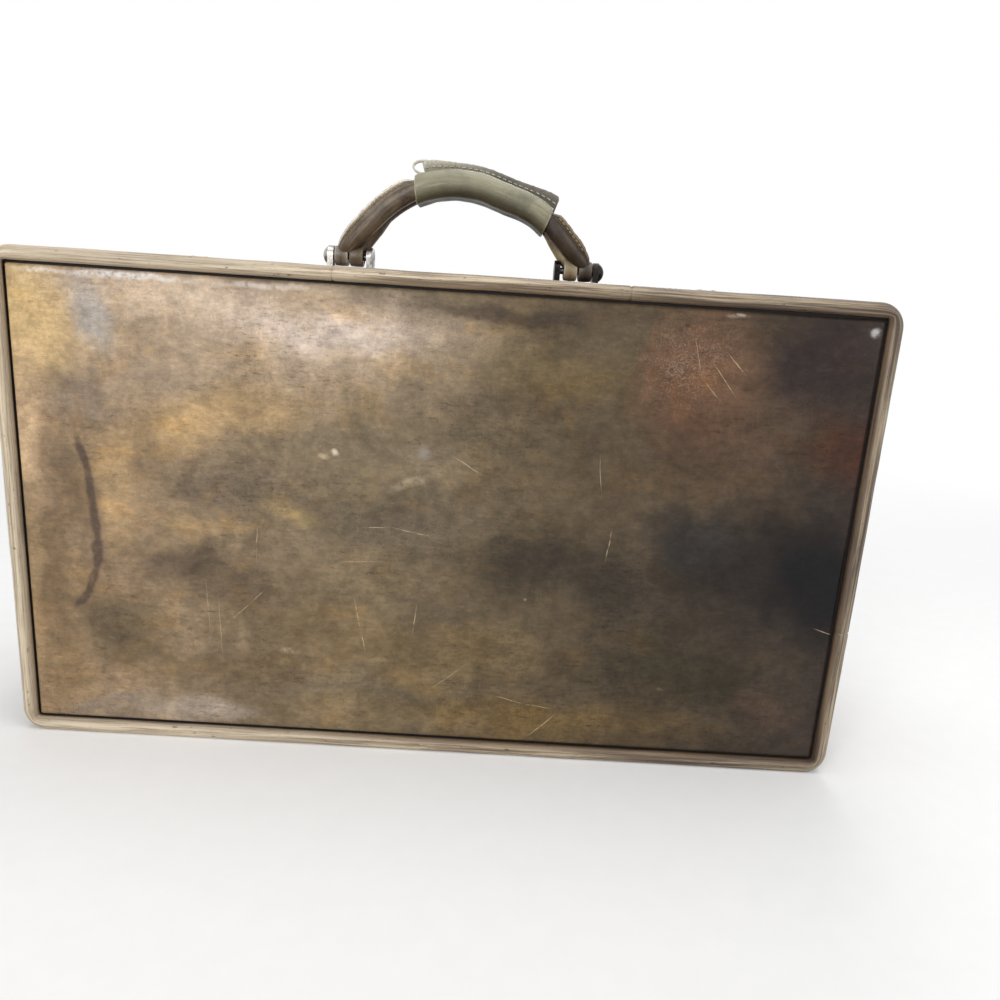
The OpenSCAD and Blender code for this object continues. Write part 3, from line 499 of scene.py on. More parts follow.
class Finish(Nodes):
    """A material in the making, with the colour painted so far."""

    def __init__(self, name, colour=None):
        self.material = bpy.data.materials.new(name)
        self.material.use_nodes = True
        super().__init__(self.material.node_tree)
        self.shader = self.add("BsdfPrincipled")
        self.output = self.add("OutputMaterial").inputs["Surface"]
        self.put(self.output, self.shader.outputs["BSDF"])
        self.place = self.add("TexCoord").outputs["Object"]
        self.colour = colour

    def mix(self, share, a, b, blend="MIX"):
        node = self.add("Mix", {0: share, 6: a, 7: b}, data_type="RGBA", blend_type=blend)
        return node.outputs[2]

    def over(self, top, share, amount=None):
        """Paints a tone over the colour, as strongly as share times amount says."""
        if amount is not None:
            share = self.times(share, amount)
        self.colour = self.mix(share, self.colour, top)

    def tinted(self, tint):
        """The colour so far, multiplied by a tint."""
        return self.mix(1.0, self.colour, tint, blend="MULTIPLY")

    def vector(self, operation, inputs):
        return self.add("VectorMath", inputs, operation=operation).outputs[0]

    def stretch(self, vector, scale):
        return self.add("Mapping", {"Vector": vector, "Scale": scale}).outputs[0]

    def noise(self, scale, detail=4.0, vector=None, rough=0.55, warp=0.0):
        """Noise from 0 to 1 with features of about 1/scale metres; scale may be per axis."""
        vector = vector or self.place
        if isinstance(scale, tuple):
            vector, scale = self.stretch(vector, scale), 1.0
        inputs = {"Vector": vector, "Scale": scale, "Detail": detail}
        inputs.update({"Roughness": rough, "Distortion": warp})
        return self.add("TexNoise", inputs).outputs["Fac"]

    def step(self, value, low, high, out_low=0.0, out_high=1.0):
        """Smooth rise of a value between two limits."""
        inputs = {"Value": value, "From Min": low, "From Max": high}
        inputs.update({"To Min": out_low, "To Max": out_high})
        node = self.add("MapRange", inputs, interpolation_type="SMOOTHSTEP")
        return node.outputs["Result"]

    def warped(self, amount, scale=14.0):
        """Object coordinates pushed about by noise."""
        cloud = self.add("TexNoise", {"Vector": self.place, "Scale": scale, "Detail": 5.0})
        centred = self.vector("SUBTRACT", {0: cloud.outputs["Color"], 1: (0.5, 0.5, 0.5)})
        scaled = self.vector("SCALE", {0: centred, "Scale": amount})
        return self.vector("ADD", {0: self.place, 1: scaled})

    def patch(self, vector, centre, radii, turn=0.0, soft=0.8):
        """Share of a soft-edged oval in the X-Z plane, sizes in millimetres."""
        local = self.add(
            "Mapping",
            {
                "Vector": vector,
                "Location": (centre[0] * MM, 0.0, centre[1] * MM),
                "Rotation": (0.0, math.radians(turn), 0.0),
                "Scale": (radii[0] * MM, 10.0, radii[1] * MM),
            },
            vector_type="TEXTURE",
        ).outputs[0]
        inward = self.add("TexGradient", {"Vector": local}, gradient_type="SPHERICAL")
        return self.step(inward.outputs["Fac"], 0.0, soft)

    def stroke(self, vector, points, width, lap=0.12):
        """Share of a tapering line drawn through points of the X-Z plane, in millimetres."""
        drawn = None
        for (x0, z0), (x1, z1) in zip(points, points[1:]):
            dx, dz = x1 - x0, z1 - z0
            radii = ((0.5 + lap) * math.hypot(dx, dz), width / 2)
            turn = -math.degrees(math.atan2(dz, dx))
            mark = self.patch(vector, (x0 + dx / 2, z0 + dz / 2), radii, turn, 0.65)
            drawn = mark if drawn is None else self.larger(drawn, mark)
        return drawn

    def beside(self, vector, start, end, soft=4.0):
        """Share of the side to the right of a line from start to end in the X-Z plane."""
        local = self.add(
            "Mapping",
            {
                "Vector": vector,
                "Location": (start[0] * MM, 0.0, start[1] * MM),
                "Rotation": (0.0, math.atan2(end[0] - start[0], end[1] - start[1]), 0.0),
            },
            vector_type="TEXTURE",
        ).outputs[0]
        off = self.add("SeparateXYZ", {0: local}).outputs["X"]
        return self.step(off, -soft / 2 * MM, soft / 2 * MM)

    def surface(self, rough, bump=None, depth=0.0002, **constants):
        """Wires the shader: colour, roughness, relief and the plain sockets."""
        self.put(self.shader.inputs["Base Color"], self.colour)
        self.put(self.shader.inputs["Roughness"], rough)
        if bump is not None:
            relief = self.add("Bump", {"Strength": 1.0, "Distance": depth, "Height": bump})
            self.put(self.shader.inputs["Normal"], relief.outputs[0])
        for key, value in constants.items():
            socket = key.replace("_", " ").title().replace("Ior", "IOR")
            self.put(self.shader.inputs[socket], value)
        return self.material


def grain(finish, size=1.1):
    """Height of leather grain: pebbles, pores and creases of about size millimetres."""
    pebbles = finish.add(
        "TexVoronoi",
        {"Vector": finish.place, "Scale": 1000 / size, "Randomness": 0.9},
        feature="SMOOTH_F1",
    ).outputs["Distance"]
    pores = finish.noise(2400 / size, 2.0)
    creases = finish.noise(160 / size, 6.0, rough=0.65, warp=0.6)
    height = finish.times(pebbles, 0.35)
    height = finish.plus(height, finish.times(pores, 0.25))
    return finish.plus(height, finish.times(creases, 0.8))


# Tones of the front panel from its left edge to its right edge: place in mm and tone
# Pale at the left to dark at the right: partly patina, partly painted falloff of the light.
FRONT_RUN_WITH_FALLOFF = (
    (-240, (160, 134, 104)),
    (-150, (138, 118, 93)),
    (-50, (118, 104, 83)),
    (50, (98, 84, 64)),
    (140, (78, 66, 52)),
    (240, (56, 46, 40)),
)
BACK_RUN = (
    (-240, (86, 68, 54)),
    (-100, (112, 92, 70)),
    (60, (136, 114, 86)),
    (240, (170, 142, 106)),
)

# Stains and painted glare: centre, radii, turn, softness, tone and share. Millimetres and degrees.
FRONT_STAINS_AND_GLARE = (
    # Painted glare: a broad pale oval over the upper left.
    ((-110, 240), (190, 56), -2, 0.9, (178, 156, 130), 0.85),
    ((-232, 246), (44, 48), 0, 0.8, (206, 176, 126), 0.9),
    ((-238, 184), (18, 70), 0, 0.8, (200, 170, 134), 0.85),
    ((-232, 100), (28, 76), 0, 0.8, (112, 92, 68), 0.9),
    ((-239, 90), (8, 90), 0, 0.8, (150, 126, 94), 0.8),
    # Painted glare and a painted highlight on the padded top edge: this line and the next two.
    ((-160, 266), (80, 22), 2, 0.9, (206, 182, 154), 0.8),
    ((-86, 257), (124, 30), 2, 0.9, (194, 174, 155), 0.75),
    ((-60, 252), (66, 13), 4, 0.9, (220, 202, 188), 0.75),
    # Painted reflection: a grey oval in the glare.
    ((-190, 250), (18, 30), -8, 0.7, (160, 154, 148), 0.8),
    ((-204, 208), (30, 22), 10, 0.8, (122, 108, 94), 0.75),
    ((-213, 160), (18, 44), 0, 0.8, (120, 100, 78), 0.7),
    ((-170, 220), (44, 14), 8, 0.8, (140, 122, 104), 0.6),
    ((-130, 200), (84, 20), -14, 0.8, (176, 147, 106), 0.8),
    ((-184, 156), (16, 54), 0, 0.8, (166, 139, 103), 0.8),
    ((-124, 160), (46, 26), 0, 0.8, (112, 98, 82), 0.8),
    ((-152, 116), (40, 18), 0, 0.8, (88, 74, 60), 0.85),
    ((-114, 100), (66, 24), 0, 0.9, (100, 84, 66), 0.7),
    ((-138, 137), (34, 9), 6, 0.8, (158, 132, 96), 0.75),
    ((-84, 150), (26, 10), 0, 0.8, (150, 128, 90), 0.7),
    ((-62, 186), (70, 24), 0, 0.9, (124, 110, 88), 0.6),
    ((-4, 182), (50, 18), -8, 0.9, (138, 122, 100), 0.7),
    ((-20, 148), (54, 26), 0, 0.9, (100, 88, 74), 0.7),
    ((-45, 110), (80, 26), 0, 0.9, (124, 106, 80), 0.6),
    ((64, 236), (70, 24), 0, 0.9, (106, 90, 62), 0.7),
    ((44, 268), (84, 8), 1, 0.7, (72, 60, 48), 0.85),
    ((52, 219), (70, 10), 0, 0.9, (80, 66, 50), 0.6),
    ((160, 214), (60, 50), 0, 0.9, (92, 70, 54), 0.7),
    ((206, 250), (46, 42), 0, 0.7, (48, 37, 35), 0.92),
    ((230, 204), (34, 34), 0, 0.8, (72, 44, 30), 0.92),
    ((150, 184), (70, 22), 0, 0.9, (84, 68, 52), 0.6),
    ((192, 130), (84, 56), 0, 0.75, (33, 27, 25), 0.92),
    # Painted reflection: a grey oval in the dark part.
    ((150, 148), (34, 24), 0, 0.8, (46, 44, 42), 0.8),
    ((226, 122), (38, 52), 0, 0.7, (15, 13, 15), 0.97),
    ((60, 126), (52, 36), 0, 0.8, (56, 48, 40), 0.8),
    ((112, 110), (60, 44), 0, 0.9, (54, 47, 39), 0.8),
    ((150, 62), (104, 42), 0, 0.9, (56, 49, 36), 0.82),
    ((206, 40), (26, 16), 10, 0.7, (88, 68, 54), 0.6),
    ((56, 24), (160, 18), 0, 0.9, (112, 91, 56), 0.8),
    ((0, 64), (110, 30), 0, 0.9, (114, 96, 66), 0.75),
    ((-60, 76), (90, 30), 0, 0.9, (126, 106, 76), 0.7),
    ((-190, 72), (44, 34), 0, 0.8, (100, 86, 64), 0.85),
    ((-222, 40), (30, 36), 0, 0.9, (128, 104, 72), 0.7),
    ((-120, 48), (100, 14), 0, 0.8, (112, 93, 66), 0.6),
    # Painted highlight on the padded foot: this line and the next.
    ((-50, 19), (130, 13), 0, 0.9, (136, 117, 88), 0.8),
    ((-152, 17), (62, 10), 0, 0.8, (178, 163, 148), 0.85),
)

# Stains, and a painted highlight, with one straight edge: the edge's ends, then centre, radii,
# turn, softness, tone and share. Each one lies to the right of its edge, seen from the first end.
FRONT_WEDGES = (
    ((96, 214), (114, 274), (134, 240), (56, 54), 0, 0.9, (112, 81, 60), 0.8),
    # Painted highlight on the padded foot at the left, below a slanting line.
    ((-244, 9), (-168, 34), (-186, 14), (60, 26), 0, 0.7, (146, 130, 112), 0.8),
)

# The dark drip at the left: the points it runs through
FRONT_DRIP = (
    (-205, 182), (-201, 166), (-199, 146), (-197, 126), (-199, 107), (-204, 92), (-211, 84),
)

# Painted glints where the pressed grain catches the light: centre and radii
FRONT_GLITTER = (
    ((-56, 252), (120, 34)),
    ((-184, 264), (70, 20)),
    ((132, 246), (40, 34)),
)

# Pale scuffs and painted glints: centre, radii, turn, softness, tone and share
FRONT_SCUFFS_AND_GLINTS = (
    ((-60, 185), (3.2, 2.8), 0, 0.9, (226, 212, 190), 0.9),
    ((-67, 182), (5, 2.4), 10, 0.9, (200, 180, 146), 0.7),
    ((-16, 170), (16, 4), -20, 0.9, (176, 158, 130), 0.7),
    ((-10, 188), (7, 6), 0, 0.9, (150, 142, 136), 0.6),
    ((-85, 62), (8, 3), -4, 0.9, (182, 162, 128), 0.7),
    ((-83, 147), (6, 4), 0, 0.9, (180, 152, 106), 0.6),
    # Painted glint along the rolled top edge: this line and the next two.
    ((-222, 274.5), (18, 2.4), 0, 0.8, (226, 214, 196), 0.8),
    ((-176, 274), (50, 3), 0, 0.8, (232, 228, 226), 0.8),
    ((-100, 273.5), (44, 2.6), 0, 0.9, (226, 214, 204), 0.6),
    ((53, 104), (1.6, 1.6), 0, 0.8, (186, 174, 152), 0.6),
    ((-32, 59), (12, 2.4), 0, 0.9, (160, 140, 104), 0.5),
    ((140, 51), (3, 1.8), 0, 0.9, (130, 116, 90), 0.5),
    # Painted glints: one on the top edge and a highlight spot in the top right corner.
    ((158, 274), (8, 1.6), 0, 0.8, (196, 184, 170), 0.7),
    ((234, 270), (5, 4), 30, 0.8, (196, 192, 190), 0.75),
)

# Scratches: the points each one runs through, and its width
FRONT_SCRATCHES = (
    (((-240, 258), (-205, 260), (-163, 262)), 0.8),
    (((101, 150), (99, 130)), 0.9),
    (((-48, 100), (-43, 78), (-40, 64)), 0.8),
    (((-43, 142), (-27, 143), (-2, 139)), 0.8),
    (((-105, 117), (-104, 140)), 0.7),
    (((-10, 97), (-12, 77)), 0.8),
    (((-120, 80), (-108, 92), (-100, 100)), 0.6),
    (((7, 187), (25, 177)), 0.8),
    (((62, 14), (78, 30)), 1.0),
    (((40, 40), (58, 36), (76, 33)), 0.7),
    (((155, 254), (167, 242)), 0.8),
    (((147, 249), (163, 230)), 0.7),
    (((136, 262), (142, 240), (156, 226)), 0.5),
    (((-135, 104), (-133, 72)), 0.6),
    (((-128, 98), (-126, 54)), 0.5),
    (((-60, 120), (-30, 122)), 0.5),
    (((90, 192), (93, 172)), 0.6),
    (((0, 42), (22, 60)), 0.6),
    (((-168, 270), (-164, 250)), 0.6),
    (((228, 96), (240, 92)), 0.9),
)

BACK_STAINS = (
    ((150, 186), (150, 90), 10, 0.9, (160, 130, 92), 0.7),
    ((-160, 86), (120, 80), -14, 0.9, (78, 63, 50), 0.75),
    ((-60, 216), (90, 40), 4, 0.8, (146, 116, 84), 0.6),
    ((70, 86), (70, 50), 20, 0.8, (98, 82, 64), 0.6),
    ((210, 56), (40, 50), 0, 0.8, (78, 62, 52), 0.8),
    ((-218, 226), (36, 44), 0, 0.8, (60, 48, 44), 0.8),
    ((0, 146), (60, 44), 0, 0.8, (160, 132, 98), 0.5),
    ((20, 20), (180, 14), 0, 0.8, (98, 80, 60), 0.7),
)

BACK_SCRATCHES = (
    (((-120, 196), (-84, 184), (-60, 166)), 0.8),
    (((40, 226), (70, 176)), 0.7),
    (((140, 106), (190, 116)), 0.8),
    (((-30, 86), (-22, 60), (-10, 36)), 0.7),
    (((-180, 146), (-150, 136)), 0.7),
    (((90, 56), (130, 46)), 0.6),
)


def tone_run(finish, run, reach):
    """Tones that change from one edge of a panel to the other."""
    low, high = run[0][0] * MM, run[-1][0] * MM
    share = finish.math("DIVIDE", finish.minus(reach, low), high - low, clamp=True)
    tones = finish.add("ValToRGB", {"Fac": share})
    marks = tones.color_ramp.elements
    for place, shade in run[1:-1]:
        marks.new((place * MM - low) / (high - low)).color = (*tone(*shade), 1)
    marks[0].color = (*tone(*run[0][1]), 1)
    marks[len(run) - 1].color = (*tone(*run[-1][1]), 1)
    return tones.outputs["Color"]


# Golden and dull rubs: scale, detail, roughness, warp, lower limit, tint and share
RUBS = (
    ((26.0, 20.0, 44.0), 6.0, 0.66, 0.7, 0.5, (1.3, 1.14, 0.82), 0.5),
    ((38.0, 20.0, 60.0), 5.0, 0.62, 0.5, 0.52, (0.77, 0.76, 0.74), 0.55),
)


def cloud_over(finish):
    """Clouds, mottles and rubs that lie over the broad stained patches and painted glare."""
    clouds = finish.step(finish.noise(30.0, 7.0, rough=0.68, warp=0.6), 0.34, 0.66, 0.76, 1.13)
    mottles = finish.noise((120.0, 60.0, 170.0), 6.0, rough=0.74)
    lightness = finish.times(clouds, finish.step(mottles, 0.34, 0.66, 0.8, 1.14))
    finish.colour = finish.vector("SCALE", {0: finish.colour, "Scale": lightness})
    for scale, detail, rough, warp, low, tint, share in RUBS:
        rubs = finish.step(finish.noise(scale, detail, rough=rough, warp=warp), low, 0.68)
        finish.over(finish.tinted(tint), rubs, share)


def press_weave(finish):
    """Soft dashes across and upright, like a weave pressed into the leather."""
    zones = finish.step(finish.noise(16.0, 5.0, rough=0.62), 0.4, 0.62)
    across_marks = finish.noise((150.0, 40.0, 620.0), 5.0, rough=0.78)
    upright_marks = finish.noise((620.0, 40.0, 170.0), 5.0, rough=0.78)

    def woven(across_limits, upright_limits):
        strong = finish.step(across_marks, *across_limits)
        return finish.larger(strong, finish.times(finish.step(upright_marks, *upright_limits), 0.7))

    dashes = woven((0.52, 0.7), (0.54, 0.72))
    dashes = finish.times(dashes, finish.step(zones, 0.0, 1.0, 0.3, 1.0))
    finish.over(finish.tinted((0.36, 0.32, 0.29)), dashes, 0.75)
    rubbed = woven((0.47, 0.32), (0.45, 0.3))
    finish.over(finish.tinted((1.5, 1.42, 1.28)), rubbed, 0.55)
    return dashes


def panel_leather(name, run, stains_and_glare, scratches, wedges=(), drip=(), glitter=(), scuffs_and_glints=()):
    """Old panel leather: broad stained patches with painted glare, a woven pressed grain, scuff
    marks, painted glints and scratches.
    """
    finish = Finish(name)
    loose = finish.warped(0.034, 24.0)
    tight = finish.warped(0.007, 70.0)
    straight = finish.warped(0.002, 60.0)
    reach = finish.add("SeparateXYZ", {0: loose}).outputs["X"]
    finish.colour = tone_run(finish, run, reach)
    # Stains, with painted glare, highlights and reflections among them.
    for centre, radii, turn, soft, shade, share in stains_and_glare:
        finish.over(tone(*shade), finish.patch(loose, centre, radii, turn, soft), share)
    for start, end, centre, radii, turn, soft, shade, share in wedges:
        spot = finish.patch(loose, centre, radii, turn, soft)
        finish.over(tone(*shade), finish.times(spot, finish.beside(tight, start, end)), share)
    cloud_over(finish)
    dashes = press_weave(finish)
    specks = finish.step(finish.noise(760.0, 2.0), 0.64, 0.76)
    finish.over(colours().panel_dark, specks, 0.4)

    # The drip, with the damp shade that runs beside it
    if drip:
        damp = finish.stroke(loose, drip, 28.0, 0.6)
        finish.over(tone(92, 76, 60), damp, 0.35)
        edge = finish.step(finish.noise(200.0, 4.0, rough=0.7), 0.2, 0.6, 0.55, 1.0)
        run_down = finish.times(finish.stroke(tight, drip, 8.0, 0.6), edge)
        finish.over(tone(62, 50, 46), run_down, 0.78)
    # Painted glints: pale specks and veins where the grain catches the light.
    glints = finish.step(finish.noise(1150.0, 2.0, rough=0.6), 0.52, 0.7)
    veins = finish.math("ABSOLUTE", finish.minus(finish.noise(70.0, 3.0, warp=1.6), 0.5))
    glints = finish.larger(glints, finish.step(veins, 0.012, 0.0))
    for centre, radii in glitter:
        spot = finish.times(finish.patch(loose, centre, radii, 0, 1.0), glints)
        finish.over(tone(240, 222, 204), spot, 0.16)
    # Pale scuffs, and the painted glints along the top edge and in its right corner.
    for centre, radii, turn, soft, shade, share in scuffs_and_glints:
        spot = finish.patch(tight, centre, radii, turn, soft)
        ragged = finish.step(finish.noise(240.0, 5.0, rough=0.7), 0.3, 0.6)
        finish.over(tone(*shade), finish.times(spot, ragged), share)
    scratched = None
    for points, width in scratches:
        mark = finish.stroke(straight, points, width)
        scratched = mark if scratched is None else finish.larger(scratched, mark)
    broken = finish.step(finish.noise(300.0, 3.0), 0.28, 0.6)
    marks = finish.times(scratched, broken)
    bright = finish.mix(0.4, finish.colour, tone(226, 204, 160))
    finish.over(bright, marks)

    height = grain(finish, 0.9)
    height = finish.minus(height, finish.times(dashes, 0.3))
    height = finish.minus(height, finish.times(marks, 0.5))
    worn = finish.noise(60.0, 6.0, rough=0.7)
    rough = finish.step(worn, 0.3, 0.7, 0.36, 0.52)
    rough = finish.plus(rough, finish.times(dashes, 0.12))
    return finish.surface(rough, height, 0.0002, specular_ior_level=0.2)


def bead_leather(name, side):
    """Tan leather drawn over a bead: lines along its run, pale along its crown from wear and a
    painted highlight, painted glare towards the light and painted shade away from it and by the
    groove.
    """
    c = colours()
    finish = Finish(name)
    run = finish.add("UVMap", uv_map="Run").outputs[0]
    section = finish.add("SeparateXYZ", {0: run}).outputs["Y"]
    reach = finish.add("SeparateXYZ", {0: finish.warped(0.04, 12.0)}).outputs["X"]
    wear_and_sheen = finish.add("Attribute", attribute_name="wear_and_sheen").outputs["Fac"]
    broad = finish.noise((9.0, 330.0, 1.0), 4.0, vector=run, rough=0.6)
    lines = finish.noise((22.0, 1100.0, 1.0), 5.0, vector=run, rough=0.7)
    patches = finish.noise((14.0, 60.0, 1.0), 5.0, vector=run, rough=0.6)
    blotches = finish.noise((110.0, 210.0, 1.0), 5.0, vector=run, rough=0.7)
    # Darker away from the light: partly age, partly painted shade, in both tones.
    aged_and_shaded = finish.step(reach, side * -0.05, side * 0.2)
    tan = finish.mix(aged_and_shaded, c.bead_tan, tone(118, 98, 76))
    brown = finish.mix(aged_and_shaded, c.bead_brown, tone(72, 58, 47))
    finish.colour = finish.mix(finish.step(broad, 0.34, 0.66), tan, brown)
    finish.over(brown, finish.step(patches, 0.45, 0.65), 0.5)
    streaks = finish.step(lines, 0.53, 0.68)
    finish.over(c.strand_brown, streaks, 0.5)
    # Pale crown: wear, and a painted highlight where the light falls on it.
    rubbed = finish.times(wear_and_sheen, finish.step(broad, 0.62, 0.4))
    rubbed = finish.times(rubbed, finish.step(lines, 0.62, 0.42))
    share = finish.step(aged_and_shaded, 0.0, 1.0, 0.85, 0.45)
    finish.over(c.bead_worn_and_lit, rubbed, share)
    # Painted glare on the side towards the light.
    painted_glare = finish.times(finish.step(reach, side * 0.04, side * -0.16), 0.55)
    painted_glare = finish.times(painted_glare, finish.step(lines, 0.66, 0.4, 0.35, 1.0))
    finish.over(tone(222, 206, 180), painted_glare)
    chips = finish.step(finish.noise((170.0, 420.0, 1.0), 4.0, vector=run), 0.61, 0.67)
    chips = finish.times(chips, finish.step(blotches, 0.46, 0.58))
    finish.over(c.panel_dark, chips, 0.7)
    # Painted shade on the inner edge, by the groove.
    groove_shade = finish.step(section, 0.0, 0.0035, 0.6, 0.0)
    finish.over(c.panel_dark, groove_shade)
    height = finish.plus(grain(finish, 0.8), finish.times(lines, 0.9))
    rough = finish.step(patches, 0.3, 0.7, 0.26, 0.42)
    return finish.surface(rough, height, 0.0002, specular_ior_level=0.45)


def cased_leather(name, body, dark, pale, size=1.2, rough=(0.38, 0.55), relief=0.0002):
    """Belting leather for sides, pocket and straps, mottled and a little rubbed."""
    finish = Finish(name)
    cloudy = finish.noise(14.0, 6.0, rough=0.62, warp=0.4)
    finish.colour = finish.mix(finish.step(cloudy, 0.35, 0.7), body, dark)
    pale_spots = finish.step(finish.noise(46.0, 5.0, rough=0.7), 0.56, 0.74)
    finish.over(pale, pale_spots, 0.35)
    fibres = finish.step(finish.noise((90.0, 700.0, 700.0), 3.0, rough=0.7), 0.55, 0.72)
    finish.over(dark, fibres, 0.3)
    specks = finish.step(finish.noise(540.0, 2.0), 0.66, 0.76)
    finish.over(tone(40, 30, 24), specks, 0.5)
    gloss = finish.step(finish.noise(70.0, 5.0), 0.3, 0.7, *rough)
    return finish.surface(gloss, grain(finish, size), relief, specular_ior_level=0.45)


def strand_leather(name, left, right, underside_shade=0.0):
    """Rolled leather with lines along its run and pale cut edges where it is worn.

    left and right are the body, dark and edge tones at the two ends of the handle; they differ
    mostly as lit and shaded copies: painted light and shade. The last argument paints shade on
    the side that faces the middle of the arch.
    """
    finish = Finish(name)
    parts = finish.add("SeparateXYZ", {0: finish.warped(0.012, 50.0)})
    # Lit and shaded tones of the two ends meet here: painted light and shade.
    side = finish.step(parts.outputs["X"], HANDLE_X - 0.03, HANDLE_X + 0.03)
    body, dark, edge = (finish.mix(side, a, b) for a, b in zip(left, right))
    run = finish.add("UVMap", uv_map="Run").outputs[0]
    wear_and_sheen = finish.add("Attribute", attribute_name="wear_and_sheen").outputs["Fac"]
    lines = finish.noise((38.0, 640.0, 1.0), 4.0, vector=run, rough=0.65)
    patches = finish.noise(40.0, 6.0, rough=0.65)
    finish.colour = finish.mix(finish.step(patches, 0.38, 0.66), body, dark)
    furrows = finish.step(lines, 0.46, 0.32)
    finish.over(dark, furrows, 0.6)
    pale = finish.times(finish.step(lines, 0.54, 0.74), 0.4)
    finish.over(edge, pale)
    ragged = finish.step(finish.noise(420.0, 4.0, rough=0.75), 0.34, 0.56)
    rubbed = finish.times(wear_and_sheen, finish.step(ragged, 0.0, 1.0, 0.5, 1.0))
    finish.over(edge, rubbed)
    pores = finish.step(finish.noise(700.0, 2.0), 0.66, 0.76)
    finish.over(dark, pores, 0.4)
    # Painted shade under the arch, on the side that faces its middle.
    if underside_shade:
        centre = arch_centre()
        offset = (-HANDLE_X, 0.0, -centre.z)
        inputs = {"Vector": finish.place, "Location": offset, "Scale": (1, 0, 1)}
        local = finish.add("Mapping", inputs)
        reach = finish.add("VectorMath", {0: local.outputs[0]}, operation="LENGTH").outputs["Value"]
        inner = sizes().arch_radius - sizes().strand_diameter / 2 - 2 * MM
        under = finish.step(reach, inner + 7 * MM, inner - 1 * MM)
        shade_tint = finish.tinted((0.2, 0.2, 0.18))
        finish.over(shade_tint, under, underside_shade)
    height = finish.plus(grain(finish, 0.7), finish.times(lines, 0.7))
    rough = finish.step(patches, 0.3, 0.7, 0.3, 0.48)
    return finish.surface(rough, height, 0.00016, specular_ior_level=0.4)


def thread(name, body):
    finish = Finish(name)
    twist = finish.noise(1500.0, 2.0, warp=0.5)
    finish.colour = finish.mix(finish.step(twist, 0.35, 0.7), body, tone(120, 100, 70))
    return finish.surface(0.7, twist, 0.0001)


def brushed_cloth(name, body):
    """Brushed lining cloth with a short nap that lies in patches."""
    finish = Finish(name)
    nap = finish.noise(900.0, 3.0, rough=0.7)
    lie = finish.noise(26.0, 5.0, rough=0.6, warp=0.6)
    dark = tuple(0.55 * v for v in body)
    finish.colour = finish.mix(finish.step(lie, 0.35, 0.66), dark, tuple(body))
    finish.over(dark, finish.step(nap, 0.4, 0.7), 0.4)
    return finish.surface(0.92, nap, 0.0002, sheen_weight=0.25, sheen_roughness=0.4)


def old_metal(name, body, tarnish, shine=(0.24, 0.5), brushed=(1.0, 1.0, 1.0)):
    """Plated metal with a worn shine, tarnish in patches and fine handling marks."""
    finish = Finish(name)
    cloudy = finish.noise(120.0, 6.0, rough=0.65)
    aged_and_shaded = finish.step(cloudy, 0.42, 0.66)
    finish.colour = finish.mix(aged_and_shaded, body, tarnish)
    pits = finish.step(finish.noise(900.0, 2.0), 0.66, 0.78)
    finish.over(tuple(0.3 * v for v in tarnish), pits, 0.6)
    marks = finish.noise(tuple(700.0 * v for v in brushed), 3.0, rough=0.7)
    gloss = finish.step(finish.plus(finish.times(aged_and_shaded, 0.5), marks), 0.3, 1.2, *shine)
    return finish.surface(gloss, marks, 0.00003, metallic=1.0)


def bare_wood(name, early, late):
    finish = Finish(name)
    rings = finish.noise((9.0, 240.0, 160.0), 5.0, rough=0.6, warp=0.3)
    finish.colour = finish.mix(finish.step(rings, 0.3, 0.7), early, late)
    pores = finish.step(finish.noise((60.0, 1400.0, 1400.0), 2.0), 0.6, 0.72)
    finish.over(tuple(0.4 * v for v in late), pores, 0.5)
    return finish.surface(0.62, rings, 0.0002)


# ---- Forms ----


def edge_distance(x, z, half_x, half_z, radius):
    """How far a point lies inside a rounded rectangle."""
    qx, qz = abs(x) - half_x + radius, abs(z) - half_z + radius
    outside = math.hypot(max(qx, 0.0), max(qz, 0.0))
    return radius - outside - min(max(qx, qz), 0.0)


def swell(distance, roll, reach):
    """Rise of padding from 0 at the roll to 1 in the middle."""
    return 1.0 - math.exp(-max(distance - roll, 0.0) / reach)


# Padding: how far in from the edge it keeps rising, and the calm border along the edge
PADDING_REACH, CALM_BORDER = 28 * MM, 12 * MM
# Crease where the covering is pulled over the board: its place below the top edge and width
CREASE_DROP, CREASE_WIDTH = 5.6 * MM, 0.7 * MM


def panel_depth(x, z, half_x, half_z, seed):
    """Depth of a padded panel's face behind the bead's crown."""
    s = sizes()
    inside = edge_distance(x, z, half_x, half_z, s.panel_corner)
    depth = s.panel_recess - s.panel_crown * swell(inside, s.panel_roll, PADDING_REACH)
    if inside < s.panel_roll:
        short = s.panel_roll - inside
        depth += s.panel_roll - math.sqrt(max(s.panel_roll**2 - short**2, 0.0))
    soft = min(inside / CALM_BORDER, 1.0)
    depth += soft * wobble(x, seed, z, 11.0, 0.45 * MM) + soft * wobble(x, seed, z, 40.0, 0.14 * MM)
    line = CREASE_DROP + wobble(x, seed, 0, 30.0, 1.1 * MM)
    crease = math.exp(-(((half_z - z) - line) ** 2) / CREASE_WIDTH**2)
    return depth + 0.3 * MM * crease * (0.6 + 0.4 * noise.noise(Vector((x * 18, seed, 3))))


def graded(t, half):
    """Grid place from -1 to 1 spread over a width, close together near its ends."""
    return math.copysign(half * (1 - (1 - abs(t)) ** 1.8), t)


